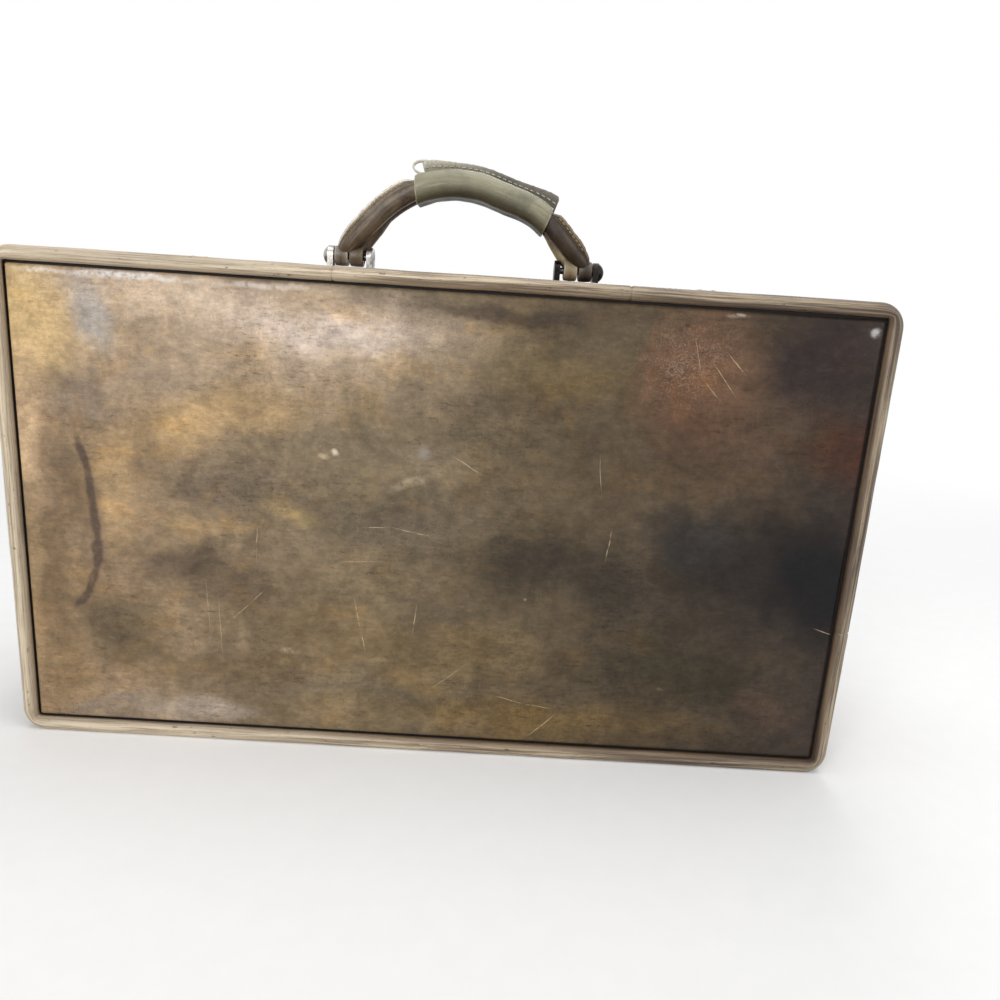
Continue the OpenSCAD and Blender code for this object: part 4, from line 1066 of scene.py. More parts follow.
def padded_panel(name, side, seed):
    """Leather over padding and a board, its edge rolled into the groove."""
    low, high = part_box(name)
    half_x, half_z = (high.x - low.x) / 2, (high.z - low.z) / 2
    mid_z = (high.z + low.z) / 2
    board = FACE_Y - sizes().bead_depth
    clear_selection()
    bpy.ops.mesh.primitive_grid_add(x_subdivisions=150, y_subdivisions=92, size=2)
    panel = take(name + "_leather")
    mesh = edit(panel)
    r = sizes().panel_corner
    for vert in mesh.verts:
        x, z = graded(vert.co.x, half_x), graded(vert.co.y, half_z)
        dx, dz = abs(x) - half_x + r, abs(z) - half_z + r
        if dx > 0 and dz > 0 and math.hypot(dx, dz) > r:
            pull = r / math.hypot(dx, dz)
            x = math.copysign(half_x - r + dx * pull, x)
            z = math.copysign(half_z - r + dz * pull, z)
        y = side * (FACE_Y - panel_depth(x, z, half_x, half_z, seed))
        vert.co = (x, y, z + mid_z)
    bpy.ops.mesh.select_all(action="DESELECT")
    for one in mesh.edges:
        one.select = one.is_boundary
    mesh.select_flush_mode()
    bpy.ops.mesh.extrude_edges_move()
    mesh = bmesh.from_edit_mesh(panel.data)
    for vert in mesh.verts:
        if vert.select:
            vert.co.y = side * board
    bpy.ops.mesh.edge_face_add()
    turn_outward()
    bpy.ops.object.mode_set(mode="OBJECT")
    smooth(panel, 50)
    return panel


# Where the bead's covering is joined on the top run, and a nick on the right one
BEAD_JOINTS_X = (-63 * MM, 98.5 * MM)
BEAD_NICK_Z = 94.4 * MM


def run_lengths():
    """Distances along the outline at which the right side, the top and the left side start."""
    r = sizes().corner_radius
    quarter = math.pi * r / 2
    half_run = HALF_WIDTH - r
    tall = TOP + 0.5 * MM - 2 * r
    right = half_run + quarter
    top = right + tall + quarter
    left = top + 2 * half_run + quarter
    return right, top, left


def bead(name, side, seed):
    """Round bead with a flat back: a closed sweep round the face."""
    s = sizes()
    right, top, _ = run_lengths()
    half_run = HALF_WIDTH - s.corner_radius
    joints = [top + half_run - x for x in BEAD_JOINTS_X] if side < 0 else [top + half_run]
    nick = right + BEAD_NICK_Z - (s.corner_radius - 0.5 * MM)
    marks = joints + [nick]
    extra = [m + d * MM for m in marks for d in (-0.9, -0.45, 0.0, 0.45, 0.9)]
    stations = outline_stations(5 * MM, extra)
    r = s.bead_width / 2
    cut = math.asin((s.bead_depth - r) / r)
    count = 26
    angles = [-cut + i * (math.pi + 2 * cut) / (count - 1) for i in range(count)]
    rings = []
    for station in stations[:-1]:
        x, z, _, _, d = station
        slack = wobble(x, seed, z, 26.0, 0.28 * MM)
        notch = sum(0.55 * math.exp(-((d - m) ** 2) / (0.45 * MM) ** 2) for m in joints)
        notch += 0.5 * math.exp(-((d - nick) ** 2) / (0.6 * MM) ** 2)
        ring = []
        for a in angles:
            fade = max(0.0, min(1.0, (math.sin(a) + 0.45) / 0.5))
            uneven = wobble(x * 3, a * 0.01 + seed, z * 3, 22.0, 0.14 * MM)
            radius = r - fade * (notch * MM + uneven)
            inset = r + radius * math.cos(a) + fade * slack
            depth = r - radius * math.sin(a)
            ring.append(across(station, squared(station, inset, s.bead_width), depth, side))
        rings.append(ring)
    rings.append(rings[0])
    along = [station[4] for station in stations]
    around = section_lengths(rings[0])

    # Pale share round the section: wear at the crown, and a painted highlight where light falls on
    # it.
    def wear_and_sheen(step, slot):
        a = math.degrees(angles[min(slot, count - 1)])
        return max(0.0, 1 - ((a - 100) / 58) ** 2)

    return sweep(name + "_leather", rings, around, along, closed=True, wear_and_sheen=wear_and_sheen, crease=55)


# Stitched groove: steps along the side and drops, in millimetres
GROOVE = ((-1.0, 0.0), (-0.6, 0.16), (0.0, 0.3), (0.6, 0.16), (1.0, 0.0))
STITCH_INSET = 3.5 * MM
# The hinge leaves under the case: half their length with play, and how far the leather stays back
LEAF_END, LEAF_PLAY = 215.35 * MM, 1.4 * MM


def side_covering(name, side, seed):
    """Side leather of one half, with a stitched groove beside the rim and one by the bead."""
    s = sizes()
    low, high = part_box(name)
    start, end = s.bead_depth, s.bead_depth + high.y - low.y
    cover, wall = 2.5 * MM, 4.1 * MM
    section = [(cover, start)]
    for middle in (start + STITCH_INSET, end - STITCH_INSET):
        for offset, drop in GROOVE:
            section.append((cover + drop * MM, middle + offset * MM))
    section += [(cover + 0.08 * MM, end - 0.5 * MM), (cover + 0.5 * MM, end)]
    section += [(wall, end), (wall, start)]
    total = outline_stations(1.0)[-1][4]
    ends = (LEAF_END, total - LEAF_END)
    stations = outline_stations(8 * MM, [e + d * MM for e in ends for d in (-0.15, 0.15)])
    relief = end - LEAF_PLAY
    rings = []
    for station in stations[:-1]:
        x, z, _, nz, _ = station
        over_hinge = nz < -0.99 and abs(x) < LEAF_END
        ring = []
        for inset, v in section:
            v = min(v, relief) if over_hinge else v
            puff = wobble(x, seed + v * 0.4, z, 30.0, 0.12 * MM) if inset < wall else 0.0
            ring.append(across(station, inset + max(puff, 0.0), v, side))
        rings.append(ring)
    rings.append(rings[0])
    along = [t[4] for t in stations]
    return sweep(name + "_leather", rings, section_lengths(rings[2]), along, closed=True)


def cover_stitches(name, side):
    """Rows of thread in the grooves of one half's side leather, left out under the metal."""
    s = sizes()
    low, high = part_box(name)
    start = s.bead_depth
    end = start + high.y - low.y
    catches = [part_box(n) for n in HIDERS[side]]
    stations = outline_stations(2 * MM)
    places = []
    for middle in (start + STITCH_INSET, end - STITCH_INSET):
        for x, z, nx, nz, _ in spaced(stations, s.stitch_pitch):
            centre = across((x, z, nx, nz, 0), 2.62 * MM, middle, side)
            covered = any(
                a.x - 1.5 * MM < centre.x < b.x + 1.5 * MM
                and a.y - 1.5 * MM < centre.y < b.y + 1.5 * MM
                and a.z - 4 * MM < centre.z < b.z + 2 * MM
                for a, b in catches
            )
            if not covered:
                places.append((centre, Vector((-nz, 0, nx)), Vector((nx, 0, nz))))
    return stitches(name + "_stitches", places, s.stitch_length, s.thread)


HIDERS = {
    1: (
        "latch_plate_left", "latch_plate_right", "handle_bracket_left", "handle_bracket_right",
        "hinge_leaf_base",
    ),
    -1: ("catch_left", "catch_right", "hinge_leaf_lid"),
}


def spaced(stations, pitch):
    """Stations at an even pitch, found between the given ones."""
    out, target = [], pitch / 2
    for a, b in zip(stations, stations[1:]):
        while target < b[4]:
            t = (target - a[4]) / max(b[4] - a[4], 1e-9)
            mixed = [p + (q - p) * t for p, q in zip(a, b)]
            length = math.hypot(mixed[2], mixed[3])
            mixed[2] /= length
            mixed[3] /= length
            out.append(mixed)
            target += pitch
    return out


def lining(name, side, seed):
    """Cloth on the walls and the face board, rounded where they meet."""
    low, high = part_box(name)
    outer, inner, back, floor = 10.1 * MM, 11.1 * MM, 10.5 * MM, 11.5 * MM
    rim = back + high.y - low.y
    contour = [
        (outer, back), (outer, rim - 0.3 * MM), (outer + 0.3 * MM, rim), (inner - 0.2 * MM, rim),
        (inner, rim - 0.3 * MM), (inner, (rim + floor) / 2), (inner, floor + 5 * MM),
        (inner + 0.3 * MM, floor + 2.2 * MM), (inner + 1.0 * MM, floor + 0.7 * MM),
        (inner + 1.8 * MM, floor + 0.1 * MM), (inner + 2.4 * MM, floor),
    ]
    stations = outline_stations(10 * MM)[:-1]
    deepest = sizes().corner_radius - 0.3 * MM
    rings = []
    for inset, v in contour:
        ring = []
        for station in stations:
            x, z = station[0], station[1]
            puff = max(wobble(x, seed + v, z, 24.0, 0.5 * MM), 0.0) if inset >= inner else 0.0
            ring.append(across(station, min(inset + puff, deepest), v, side))
        rings.append(ring)
    piece = sweep(
        name + "_cloth",
        rings,
        [t[4] for t in stations] + [stations[-1][4] + 10 * MM],
        [i * 5 * MM for i in range(len(rings))],
    )
    for face in piece.data.polygons:
        face.use_smooth = len(face.vertices) < 5
    return piece


# Foot and height of the pocket, and how far its mouth sags in the middle
POCKET_FOOT, POCKET_HEIGHT, MOUTH_SAG = 36 * MM, 190 * MM, 1.5 * MM


def mouth_sag(x, z, width):
    """How far the band hangs down at a place."""
    return MOUTH_SAG * math.cos(math.pi * x / width) * ((z - POCKET_FOOT) / POCKET_HEIGHT) ** 8


def pocket_front(x, z):
    """Place of the pocket's front leaf: it hangs a little slack below its mouth."""
    low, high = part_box("document_pocket")
    across_it = (x - low.x) / (high.x - low.x)
    up_it = (z - low.z) / (high.z - low.z)
    belly = math.sin(math.pi * min(max(across_it, 0), 1))
    belly *= math.sin(math.pi * min(up_it, 1) * 0.8)
    return high.y - 1.2 * MM + 1.1 * MM * belly + wobble(x, 5, z, 13.0, 0.5 * MM)


def pocket():
    """Document pocket: a slack front leaf, folded sides and an open mouth."""
    low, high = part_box("document_pocket")
    middle = (low + high) / 2
    clear_selection()
    bpy.ops.mesh.primitive_cube_add(size=1)
    piece = take("document_pocket_leather")
    edit(piece)
    bpy.ops.transform.resize(value=high - low)
    bpy.ops.transform.translate(value=middle)
    bpy.ops.mesh.select_all(action="DESELECT")
    mesh = bmesh.from_edit_mesh(piece.data)
    for face in mesh.faces:
        face.select = face.normal.z > 0.9
    bpy.ops.mesh.delete(type="ONLY_FACE")
    bpy.ops.mesh.select_all(action="SELECT")
    bpy.ops.mesh.subdivide(number_cuts=27)
    mesh = bmesh.from_edit_mesh(piece.data)
    for vert in mesh.verts:
        x, y, z = vert.co
        if y > high.y - 0.1 * MM:
            vert.co.y = pocket_front(x, z)
            across_it, up_it = (x - low.x) / (high.x - low.x), (z - low.z) / (high.z - low.z)
            vert.co.z -= MOUTH_SAG * math.sin(math.pi * across_it) * up_it**8
        elif y > low.y + 0.1 * MM:
            fold = math.sin(math.pi * (y - low.y) / (high.y - low.y))
            pull = 2.2 * MM * fold
            if abs(x) > high.x - 0.1 * MM:
                vert.co.x = math.copysign(abs(x) - pull, x)
            elif z < low.z + 0.1 * MM:
                vert.co.z += pull
    bpy.ops.object.mode_set(mode="OBJECT")
    add_modifier(piece, "SOLIDIFY", thickness=1.3 * MM, offset=-1)
    add_modifier(piece, "BEVEL", width=0.3 * MM, segments=2, limit_method="ANGLE")
    smooth(piece, 50)
    return piece


def pocket_trim():
    """Leather band sewn along the mouth of the pocket."""
    low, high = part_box("pocket_band")
    clear_selection()
    bpy.ops.mesh.primitive_grid_add(x_subdivisions=60, y_subdivisions=8, size=2)
    piece = take("pocket_band_leather")
    mesh = edit(piece)
    half, height = (high.x - low.x) / 2, (high.z - low.z) / 2
    for vert in mesh.verts:
        x, z = vert.co.x * half, (high.z + low.z) / 2 + vert.co.y * height
        vert.co = (x, pocket_front(x, z) + 0.05 * MM, z - mouth_sag(x, z, 2 * half))
    turn_outward()
    bpy.ops.object.mode_set(mode="OBJECT")
    mesh = edit(piece)
    if sum(face.normal.y for face in mesh.faces) < 0:
        bpy.ops.mesh.flip_normals()
    bpy.ops.object.mode_set(mode="OBJECT")
    add_modifier(piece, "SOLIDIFY", thickness=1.4 * MM, offset=1)
    add_modifier(piece, "BEVEL", width=0.4 * MM, segments=2, limit_method="ANGLE")
    smooth(piece, 50)
    return piece


def pocket_stitches():
    low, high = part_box("pocket_band")
    s = sizes()
    places = []
    for inset in (2.4 * MM, high.z - low.z - 2.4 * MM):
        count = int((high.x - low.x - 6 * MM) / s.stitch_pitch)
        for i in range(count):
            x = low.x + 3 * MM + (i + 0.5) * s.stitch_pitch
            z = high.z - inset
            lower = z - mouth_sag(x, z, high.x - low.x)
            centre = Vector((x, pocket_front(x, z) + 1.57 * MM, lower))
            places.append((centre, Vector((1, 0, 0)), Vector((0, 1, 0))))
    return stitches("pocket_stitches", places, s.stitch_length, s.thread)


# ---- Handle ----

# Per strand: side in Y, distance of its eye from the handle's middle, angle where its
# crown ends, lengths by which its curve keeps its way, slope at the eye, flange lean
# and thickness at the eye. All of the handle is laid out about its own middle first.
Strand = namedtuple("Strand", "side eye_x last pulls slope lean thickness")
STRANDS = {
    "front": Strand(-1, 75.4 * MM, 48, (5 * MM, 1 * MM), 65, 30, 8.6 * MM),
    "rear": Strand(1, 66.2 * MM, 43, (4 * MM, 1 * MM), 65, 55, 7.2 * MM),
}
NECK = 5 * MM
GRIP_FROM, GRIP_TO = -24.5, 42.5
SEAM_FROM, SEAM_TO = -18.5, 41.0


def arch_centre():
    return Vector((0, PIVOT.y, PIVOT.z + sizes().arch_rise - sizes().arch_radius))


# Dents of the worn arch: depth, middle and width in degrees
DENTS = ((3.4 * MM, 19, 15), (0.9 * MM, -2, 12))


def sag(degrees):
    """How far the worn arch has come down under the grip."""
    return sum(depth * math.exp(-(((degrees - at) / width) ** 2)) for depth, at, width in DENTS)


def seat_handle(piece):
    """Brings the arch down by its sag and moves a piece to the handle's place."""
    centre = arch_centre()
    mesh = edit(piece)
    for vert in mesh.verts:
        x, z = vert.co.x - centre.x, vert.co.z - centre.z
        reach = math.hypot(x, z)
        drop = sag(math.degrees(math.atan2(x, z))) / reach
        vert.co.x -= x * drop
        vert.co.z -= z * drop
    bpy.ops.mesh.select_all(action="SELECT")
    bpy.ops.transform.translate(value=(HANDLE_X, 0, 0))
    bpy.ops.object.mode_set(mode="OBJECT")
    return piece


def strand_side():
    return (sizes().strand_diameter + 0.7 * MM) / 2


def arch_ways(degrees):
    """The ways outward and onward at an angle of the arch."""
    a = math.radians(degrees)
    return Vector((math.sin(a), 0, math.cos(a))), Vector((math.cos(a), 0, -math.sin(a)))


def arch_point(side, degrees):
    aside = Vector((0, side * strand_side(), 0))
    return arch_centre() + sizes().arch_radius * arch_ways(degrees)[0] + aside


def eye_way(form):
    a = math.radians(form.slope)
    return Vector((-math.cos(a), form.side * 0.35, math.sin(a))).normalized()


def strand_path(form, crown=14, leg=26, tail=5):
    """Right half of a strand from its crown to its eye: point and share of the taper."""
    way = eye_way(form)
    p0 = arch_point(form.side, form.last)
    p1 = p0 + form.pulls[0] * arch_ways(form.last)[1]
    p3 = Vector((form.eye_x, PIVOT.y, PIVOT.z)) + NECK * way
    p2 = p3 + form.pulls[1] * way
    path = [(arch_point(form.side, form.last * k / crown), 0.0) for k in range(crown)]
    for k in range(leg + 1):
        t = k / leg
        point = (1 - t) ** 3 * p0 + 3 * (1 - t) ** 2 * t * p1 + 3 * (1 - t) * t**2 * p2 + t**3 * p3
        path.append((point, max(0.0, (t - 0.4) / 0.6)))
    for k in range(1, tail + 1):
        path.append((p3 - way * (7.6 * MM * k / tail), 1.0 + 0.1 * k / tail))
    return path


def flange_rise(point, taper):
    centre = arch_centre()
    a = math.degrees(math.atan2(point.x, point.z - centre.z))
    out = max(GRIP_FROM - a, a - GRIP_TO)
    beside = min(1.0, max(0.0, out / 1.2 + 0.5))
    above = min(1.0, max(0.0, (1.15 - taper) / 0.9))
    return max(0.05 * MM, 3.0 * MM * beside * above)


def strand_frames(form, seed):
    """Frames along a strand: point, way, outward, across, radius and flange rise."""
    half = strand_path(form)
    path = [(Vector((-p.x, p.y, p.z)), t) for p, t in reversed(half[1:])] + half
    lean = math.radians(form.lean)
    leaning = Vector((0, form.side * math.sin(lean), 0))
    centre = arch_centre()
    frames = []
    for k, (point, taper) in enumerate(path):
        before, after = path[max(k - 1, 0)][0], path[min(k + 1, len(path) - 1)][0]
        way = (after - before).normalized()
        outward = Vector((point.x, 0, point.z - centre.z)).normalized()
        lean_way = math.cos(lean) * outward + leaning
        out = (lean_way - lean_way.dot(way) * way).normalized()
        cross = way.cross(out)
        r = sizes().strand_diameter / 2
        r += (form.thickness / 2 - r) * min(taper, 1.0)
        uneven = wobble(point.x, point.y + seed, point.z, 90.0, 0.22 * MM)
        r += uneven * min(1, 2 * (1 - taper) + 0.2)
        frames.append((point, way, out, cross, r, flange_rise(point, taper)))
    return frames


def strand(name, form, seed):
    """Rolled leather with its two edges sewn together into a flange."""
    frames = strand_frames(form, seed)
    roll = 30
    rings, rub = [], []
    for point, way, out, cross, r, rise in frames:
        half = min(1.3 * MM, 0.6 * r)
        ragged = wobble(point.x * 3, point.y + seed, point.z * 3, 160.0, 0.35 * MM)
        ragged *= min(1, rise / MM)
        tip = r + rise + ragged
        waist = r + 0.5 * rise
        section = [
            (waist, -0.82 * half), (tip - 0.35 * MM, -half), (tip, -0.6 * half),
            (tip - min(0.5 * MM, 0.4 * rise), 0.0),
            (tip, 0.6 * half), (tip - 0.35 * MM, half), (waist, 0.82 * half),
        ]
        start = math.asin(half / r)
        turn = (2 * math.pi - 2 * start) / (roll - 1)
        section += [
            (r * math.cos(start + i * turn), r * math.sin(start + i * turn)) for i in range(roll)
        ]
        rings.append([point + a * out + b * cross for a, b in section])
        rub.append(min(1.0, rise / (1.5 * MM)))
    along = [0.0]
    for a, b in zip(frames, frames[1:]):
        along.append(along[-1] + (b[0] - a[0]).length)

    def wear_and_sheen(step, slot):
        if 1 <= slot <= 5:
            return rub[step]
        return 0.25 * rub[step] if slot in (0, 6, 7, roll + 6) else 0.0

    around = section_lengths(rings[len(rings) // 2])
    return sweep(name, rings, around, along, wear_and_sheen=wear_and_sheen, crease=45)


def eye_loop(name, form, side, seed):
    """Leather taken round an eye on its pin, as a thick band with rounded edges."""
    half, low, high = 4.15 * MM, 3.9 * MM, 5.7 * MM
    axis = Vector((side * form.eye_x, PIVOT.y, PIVOT.z))
    section = [
        (-half + 0.5 * MM, low), (-half, low + 0.5 * MM), (-half, high - 0.9 * MM),
        (-half + 0.3 * MM, high - 0.25 * MM), (-half + 1.1 * MM, high), (0.0, high + 0.12 * MM),
        (half - 1.1 * MM, high), (half - 0.3 * MM, high - 0.25 * MM), (half, high - 0.9 * MM),
        (half, low + 0.5 * MM), (half - 0.5 * MM, low),
    ]
    turns = 36
    rings, along = [], []
    for k in range(turns + 1):
        a = 2 * math.pi * k / turns
        pull = 1 + 0.1 * max(0.0, math.cos(a)) ** 3
        ring = []
        for x, r in section:
            r = r * pull + wobble(math.cos(a), seed + x * 100, math.sin(a), 1.6, 0.25 * MM)
            ring.append(axis + Vector((x, r * math.sin(a), r * math.cos(a))))
        rings.append(ring)
        along.append(a * high)

    def wear_and_sheen(step, slot):
        return (0.2, 0.6, 0.8, 0.7, 0.2, 0.0, 0.2, 0.7, 0.8, 0.6, 0.2)[slot]

    around = section_lengths(rings[0])
    return sweep(name, rings, around, along, closed=True, wear_and_sheen=wear_and_sheen, crease=45)


def join(piece, *others):
    """Makes one object of several, named like the first."""
    choose(piece, *others)
    bpy.ops.object.join()
    return piece


def strand_stitches(name, form, seed):
    frames = strand_frames(form, seed)
    s = sizes()
    places, run, target = [], 0.0, 0.0
    for a, b in zip(frames, frames[1:]):
        length = (b[0] - a[0]).length
        while target < run + length:
            t = (target - run) / length
            point, out, cross = (a[i].lerp(b[i], t) for i in (0, 2, 3))
            way, r, rise = a[1], a[4] + (b[4] - a[4]) * t, min(a[5], b[5])
            if rise > 2.0 * MM:
                for face in (-1, 1):
                    centre = point + (r + 0.52 * rise) * out + face * 1.22 * MM * cross
                    places.append((centre, way, face * cross))
            target += s.stitch_pitch * 0.8
        run += length
    return stitches(name, places, s.stitch_length * 0.85, s.thread)


def sleeve_ring(degrees, grow, seed, plump=0.0):
    """Section of the sleeve round both strands, slanted where its ends are cut."""
    s = sizes()
    r = s.strand_diameter / 2 + grow
    side = strand_side()
    left = math.exp(-max(0.0, degrees - GRIP_FROM) / 7.0)
    right = math.exp(-max(0.0, GRIP_TO - degrees) / 7.0)
    outline = []
    for way in (1, -1):
        for i in range(18):
            turn = math.radians(90 - 180 * i / 17)
            outline.append((way * side + way * r * math.cos(turn), way * r * math.sin(turn)))
        for i in range(1, 7):
            outline.append((way * side * (1 - 2 * i / 7), -way * r))
    ring = []
    for y, height in outline:
        if plump:
            dip = plump * math.exp(-((y / (0.55 * side)) ** 2))
            puff = wobble(0.002 * degrees, y, seed + 0.01 * height, 90.0, 0.35 * MM)
            height -= math.copysign(dip, height) * (abs(height) / r) ** 2 - puff
        a = math.radians(degrees + (1.9 * left - 2.2 * right) * height / r)
        reach = s.arch_radius + height
        ring.append(arch_centre() + Vector((reach * math.sin(a), y, reach * math.cos(a))))
    return ring


def grip(seed=4.0):
    """Sleeve of leather round both strands with a visible thickness at its ends."""
    t = sizes().grip_leather
    fit = 0.35 * MM
    plan = [
        (GRIP_FROM + 5, fit, 0.0), (GRIP_FROM + 1.2, fit, 0.0), (GRIP_FROM, fit + 0.25 * t, 0.0),
        (GRIP_FROM - 0.1, fit + 0.55 * t, 0.1), (GRIP_FROM + 0.15, fit + 0.9 * t, 0.4),
    ]
    steps = 44
    for k in range(steps + 1):
        a = GRIP_FROM + 0.6 + (GRIP_TO - GRIP_FROM - 1.2) * k / steps
        plan.append((a, fit + t, 0.9))
    plan += [
        (GRIP_TO - 0.15, fit + 0.9 * t, 0.4), (GRIP_TO + 0.1, fit + 0.55 * t, 0.1),
        (GRIP_TO, fit + 0.25 * t, 0.0), (GRIP_TO - 1.2, fit, 0.0), (GRIP_TO - 5, fit, 0.0),
    ]
    rings = [sleeve_ring(a, g, seed, p * MM) for a, g, p in plan]
    along = [math.radians(a) * sizes().arch_radius for a, _, _ in plan]

    def wear_and_sheen(step, slot):
        return 1.0 if 1 < step < 5 or len(plan) - 6 < step < len(plan) - 2 else 0.0

    return sweep("grip_sleeve", rings, section_lengths(rings[20]), along, wear_and_sheen=wear_and_sheen)


def seam_frame(degrees, seed):
    outward, way = arch_ways(degrees)
    base = sizes().arch_radius + sizes().strand_diameter / 2 + 0.35 * MM + sizes().grip_leather
    sway = wobble(degrees * 0.01, seed, 0, 14.0, 0.5 * MM)
    return arch_centre() + base * outward + Vector((0, sway, 0)), outward, way


def seam_rise(degrees):
    """Height of the standing seam, which has pulled up at both ends."""
    left = math.exp(-(((degrees - SEAM_FROM) / 9) ** 2))
    right = math.exp(-(((degrees - SEAM_TO) / 11) ** 2))
    return sizes().seam_height * (0.8 + 0.55 * left + 0.62 * right)


def grip_seam(seed=9.0):
    """The sleeve's two edges stood up together and sewn, cut square and worn."""
    s = sizes()
    steps = 64
    rings, along = [], []
    for k in range(steps + 1):
        t = k / steps
        degrees = SEAM_FROM + (SEAM_TO - SEAM_FROM) * t
        base, outward, way = seam_frame(degrees, seed)
        ends = min(1.0, 0.8 + 0.2 * min(k, steps - k) / 1.5)
        height = seam_rise(degrees) * ends + wobble(degrees * 0.02, seed + 2, 0, 40.0, 0.4 * MM)
        half = 2.0 * MM * (0.9 + 0.1 * ends)
        spread = wobble(degrees * 0.02, seed + 5, 0, 30.0, 0.3 * MM)
        slant = 2.4 * MM * math.exp(-(steps - k) / 5.0)
        section = [
            (-2.0 * MM, -half * 0.95), (0.4 * height, -half * 0.86),
            (0.85 * height, -half - spread), (height, -half * 0.78 - spread),
            (height * 0.99, -half * 0.25), (height * 0.88, 0.0),
            (height * 0.97, half * 0.25), (height * 0.98, half * 0.78 + spread),
            (0.84 * height, half + spread), (0.4 * height, half * 0.86), (-2.0 * MM, half * 0.95),
        ]
        rings.append(
            [base + a * outward - slant * a / height * way + Vector((0, b, 0)) for a, b in section]
        )
        along.append(math.radians(degrees) * s.arch_radius)

    def wear_and_sheen(step, slot):
        return (0.0, 0.15, 0.7, 1.0, 1.0, 0.5, 1.0, 1.0, 0.7, 0.15, 0.0)[slot]

    return sweep("grip_seam", rings, section_lengths(rings[10]), along, wear_and_sheen=wear_and_sheen, crease=45)


def seam_tab():
    """Strip at the seam's left end that stands up in a small loop over the sleeve."""
    base, outward, way = seam_frame(SEAM_FROM, 9.0)
    spine = [
        (1.2, -1.6), (-0.6, 0.4), (-3.6, 1.6), (-5.6, 3.6), (-6.0, 6.0), (-4.2, 7.7),
        (-1.6, 8.0), (1.4, 7.4), (3.6, 6.8),
    ]
    points = [Vector((a * MM, 0, b * MM)) for a, b in spine]
    path = []
    for k in range(len(points) - 1):
        for i in range(4):
            path.append(points[k].lerp(points[k + 1], i / 4))
    path.append(points[-1])
    for _ in range(3):
        path = [path[0]] + [
            (a + 2 * b + c) / 4 for a, b, c in zip(path, path[1:], path[2:])
        ] + [path[-1]]
    rings, along = [], [0.0]
    for k, point in enumerate(path):
        after, before = path[min(k + 1, len(path) - 1)], path[max(k - 1, 0)]
        run = (after - before).normalized()
        up = Vector((-run.z, 0, run.x))
        place = base + point.x * way + point.z * outward
        thick = up.x * way + up.z * outward
        half, wide = 0.55 * MM, 1.9 * MM
        rings.append([
            place + a * half * thick + Vector((0, b * wide, 0))
            for a, b in (
                (-1, -0.9), (0, -1), (1, -0.9), (1.1, 0), (1, 0.9), (0, 1), (-1, 0.9), (-1.1, 0)
            )
        ])
        if k:
            along.append(along[-1] + (point - path[k - 1]).length)

    def wear_and_sheen(step, slot):
        return 0.3 if slot in (3, 7) else 1.0

    return sweep("grip_tab", rings, section_lengths(rings[0]), along, wear_and_sheen=wear_and_sheen, crease=45)


def grip_stitches(seed=9.0):
    s = sizes()
    places = []
    step = math.degrees(s.stitch_pitch / (s.arch_radius + 12 * MM))
    degrees = SEAM_FROM + 1.5
    while degrees < SEAM_TO - 1.5:
        base, outward, way = seam_frame(degrees, seed)
        for face in (-1, 1):
            up = 0.42 * seam_rise(degrees)
            centre = base + up * outward + Vector((0, face * 1.78 * MM, 0))
            places.append((centre, way, Vector((0, face, 0))))
        degrees += step
    return stitches("grip_stitches", places, s.stitch_length, s.thread)


# ---- Stage ----


def floor_finish():
    """Pale floor that takes the case's shadow and turns plain white further off."""
    finish = Finish("floor")
    flat = finish.vector("MULTIPLY", {0: finish.place, 1: (1, 1, 0)})
    reach = finish.add("VectorMath", {0: flat}, operation="LENGTH").outputs["Value"]
    far = finish.step(reach, 0.55, 1.5)
    share = finish.times(far, finish.seen_at_once())
    finish.colour = finish.mix(finish.noise(60.0, 4.0), (0.86, 0.86, 0.86), (0.9, 0.9, 0.9))
    finish.surface(0.9, specular_ior_level=0.1)
    white = finish.add("Emission", {"Color": (1.0, 1.0, 1.0), "Strength": 1.0})
    both = finish.add("MixShader", {0: share, 1: finish.shader.outputs[0], 2: white.outputs[0]})
    finish.put(finish.output, both.outputs[0])
    return finish.material


def plain_world():
    """Even light for the object, white for the camera and for reflections."""
    world = bpy.data.worlds.new("studio")
    bpy.context.scene.world = world
    world.use_nodes = True
    nodes = Nodes(world.node_tree)
    lit, seen = (
        nodes.add("Background", {"Color": (1.0, 1.0, 1.0), "Strength": strength}).outputs[0]
        for strength in (0.42, 1.0)
    )
    both = nodes.add("MixShader", {0: nodes.seen_at_once(), 1: lit, 2: seen})
    nodes.put(nodes.add("OutputWorld").inputs["Surface"], both.outputs[0])


# Lamps: place, size in metres, power in watts
LAMPS = (
    ("key", (-0.75, -1.6, 0.95), 1.0, 16.0),
    ("top", (0.1, -0.1, 1.7), 1.6, 14.0),
    ("right", (1.6, -0.9, 0.8), 1.0, 5.0),
    ("back", (0.3, 1.7, 1.1), 1.4, 12.0),
)


def lamps():
    aim = Vector((0, 0, 0.15))
    for name, place, width, power in LAMPS:
        clear_selection()
        bpy.ops.object.light_add(type="AREA", location=place)
        lamp = take(name)
        lamp.data.shape = "DISK"
        lamp.data.size = width
        lamp.data.energy = power
        lamp.rotation_euler = (aim - Vector(place)).to_track_quat("-Z", "Y").to_euler()


# ---- Operators ----

# The two bodies of the case and the side of Y each one's face looks to
HALVES = (("base", 1), ("lid", -1))


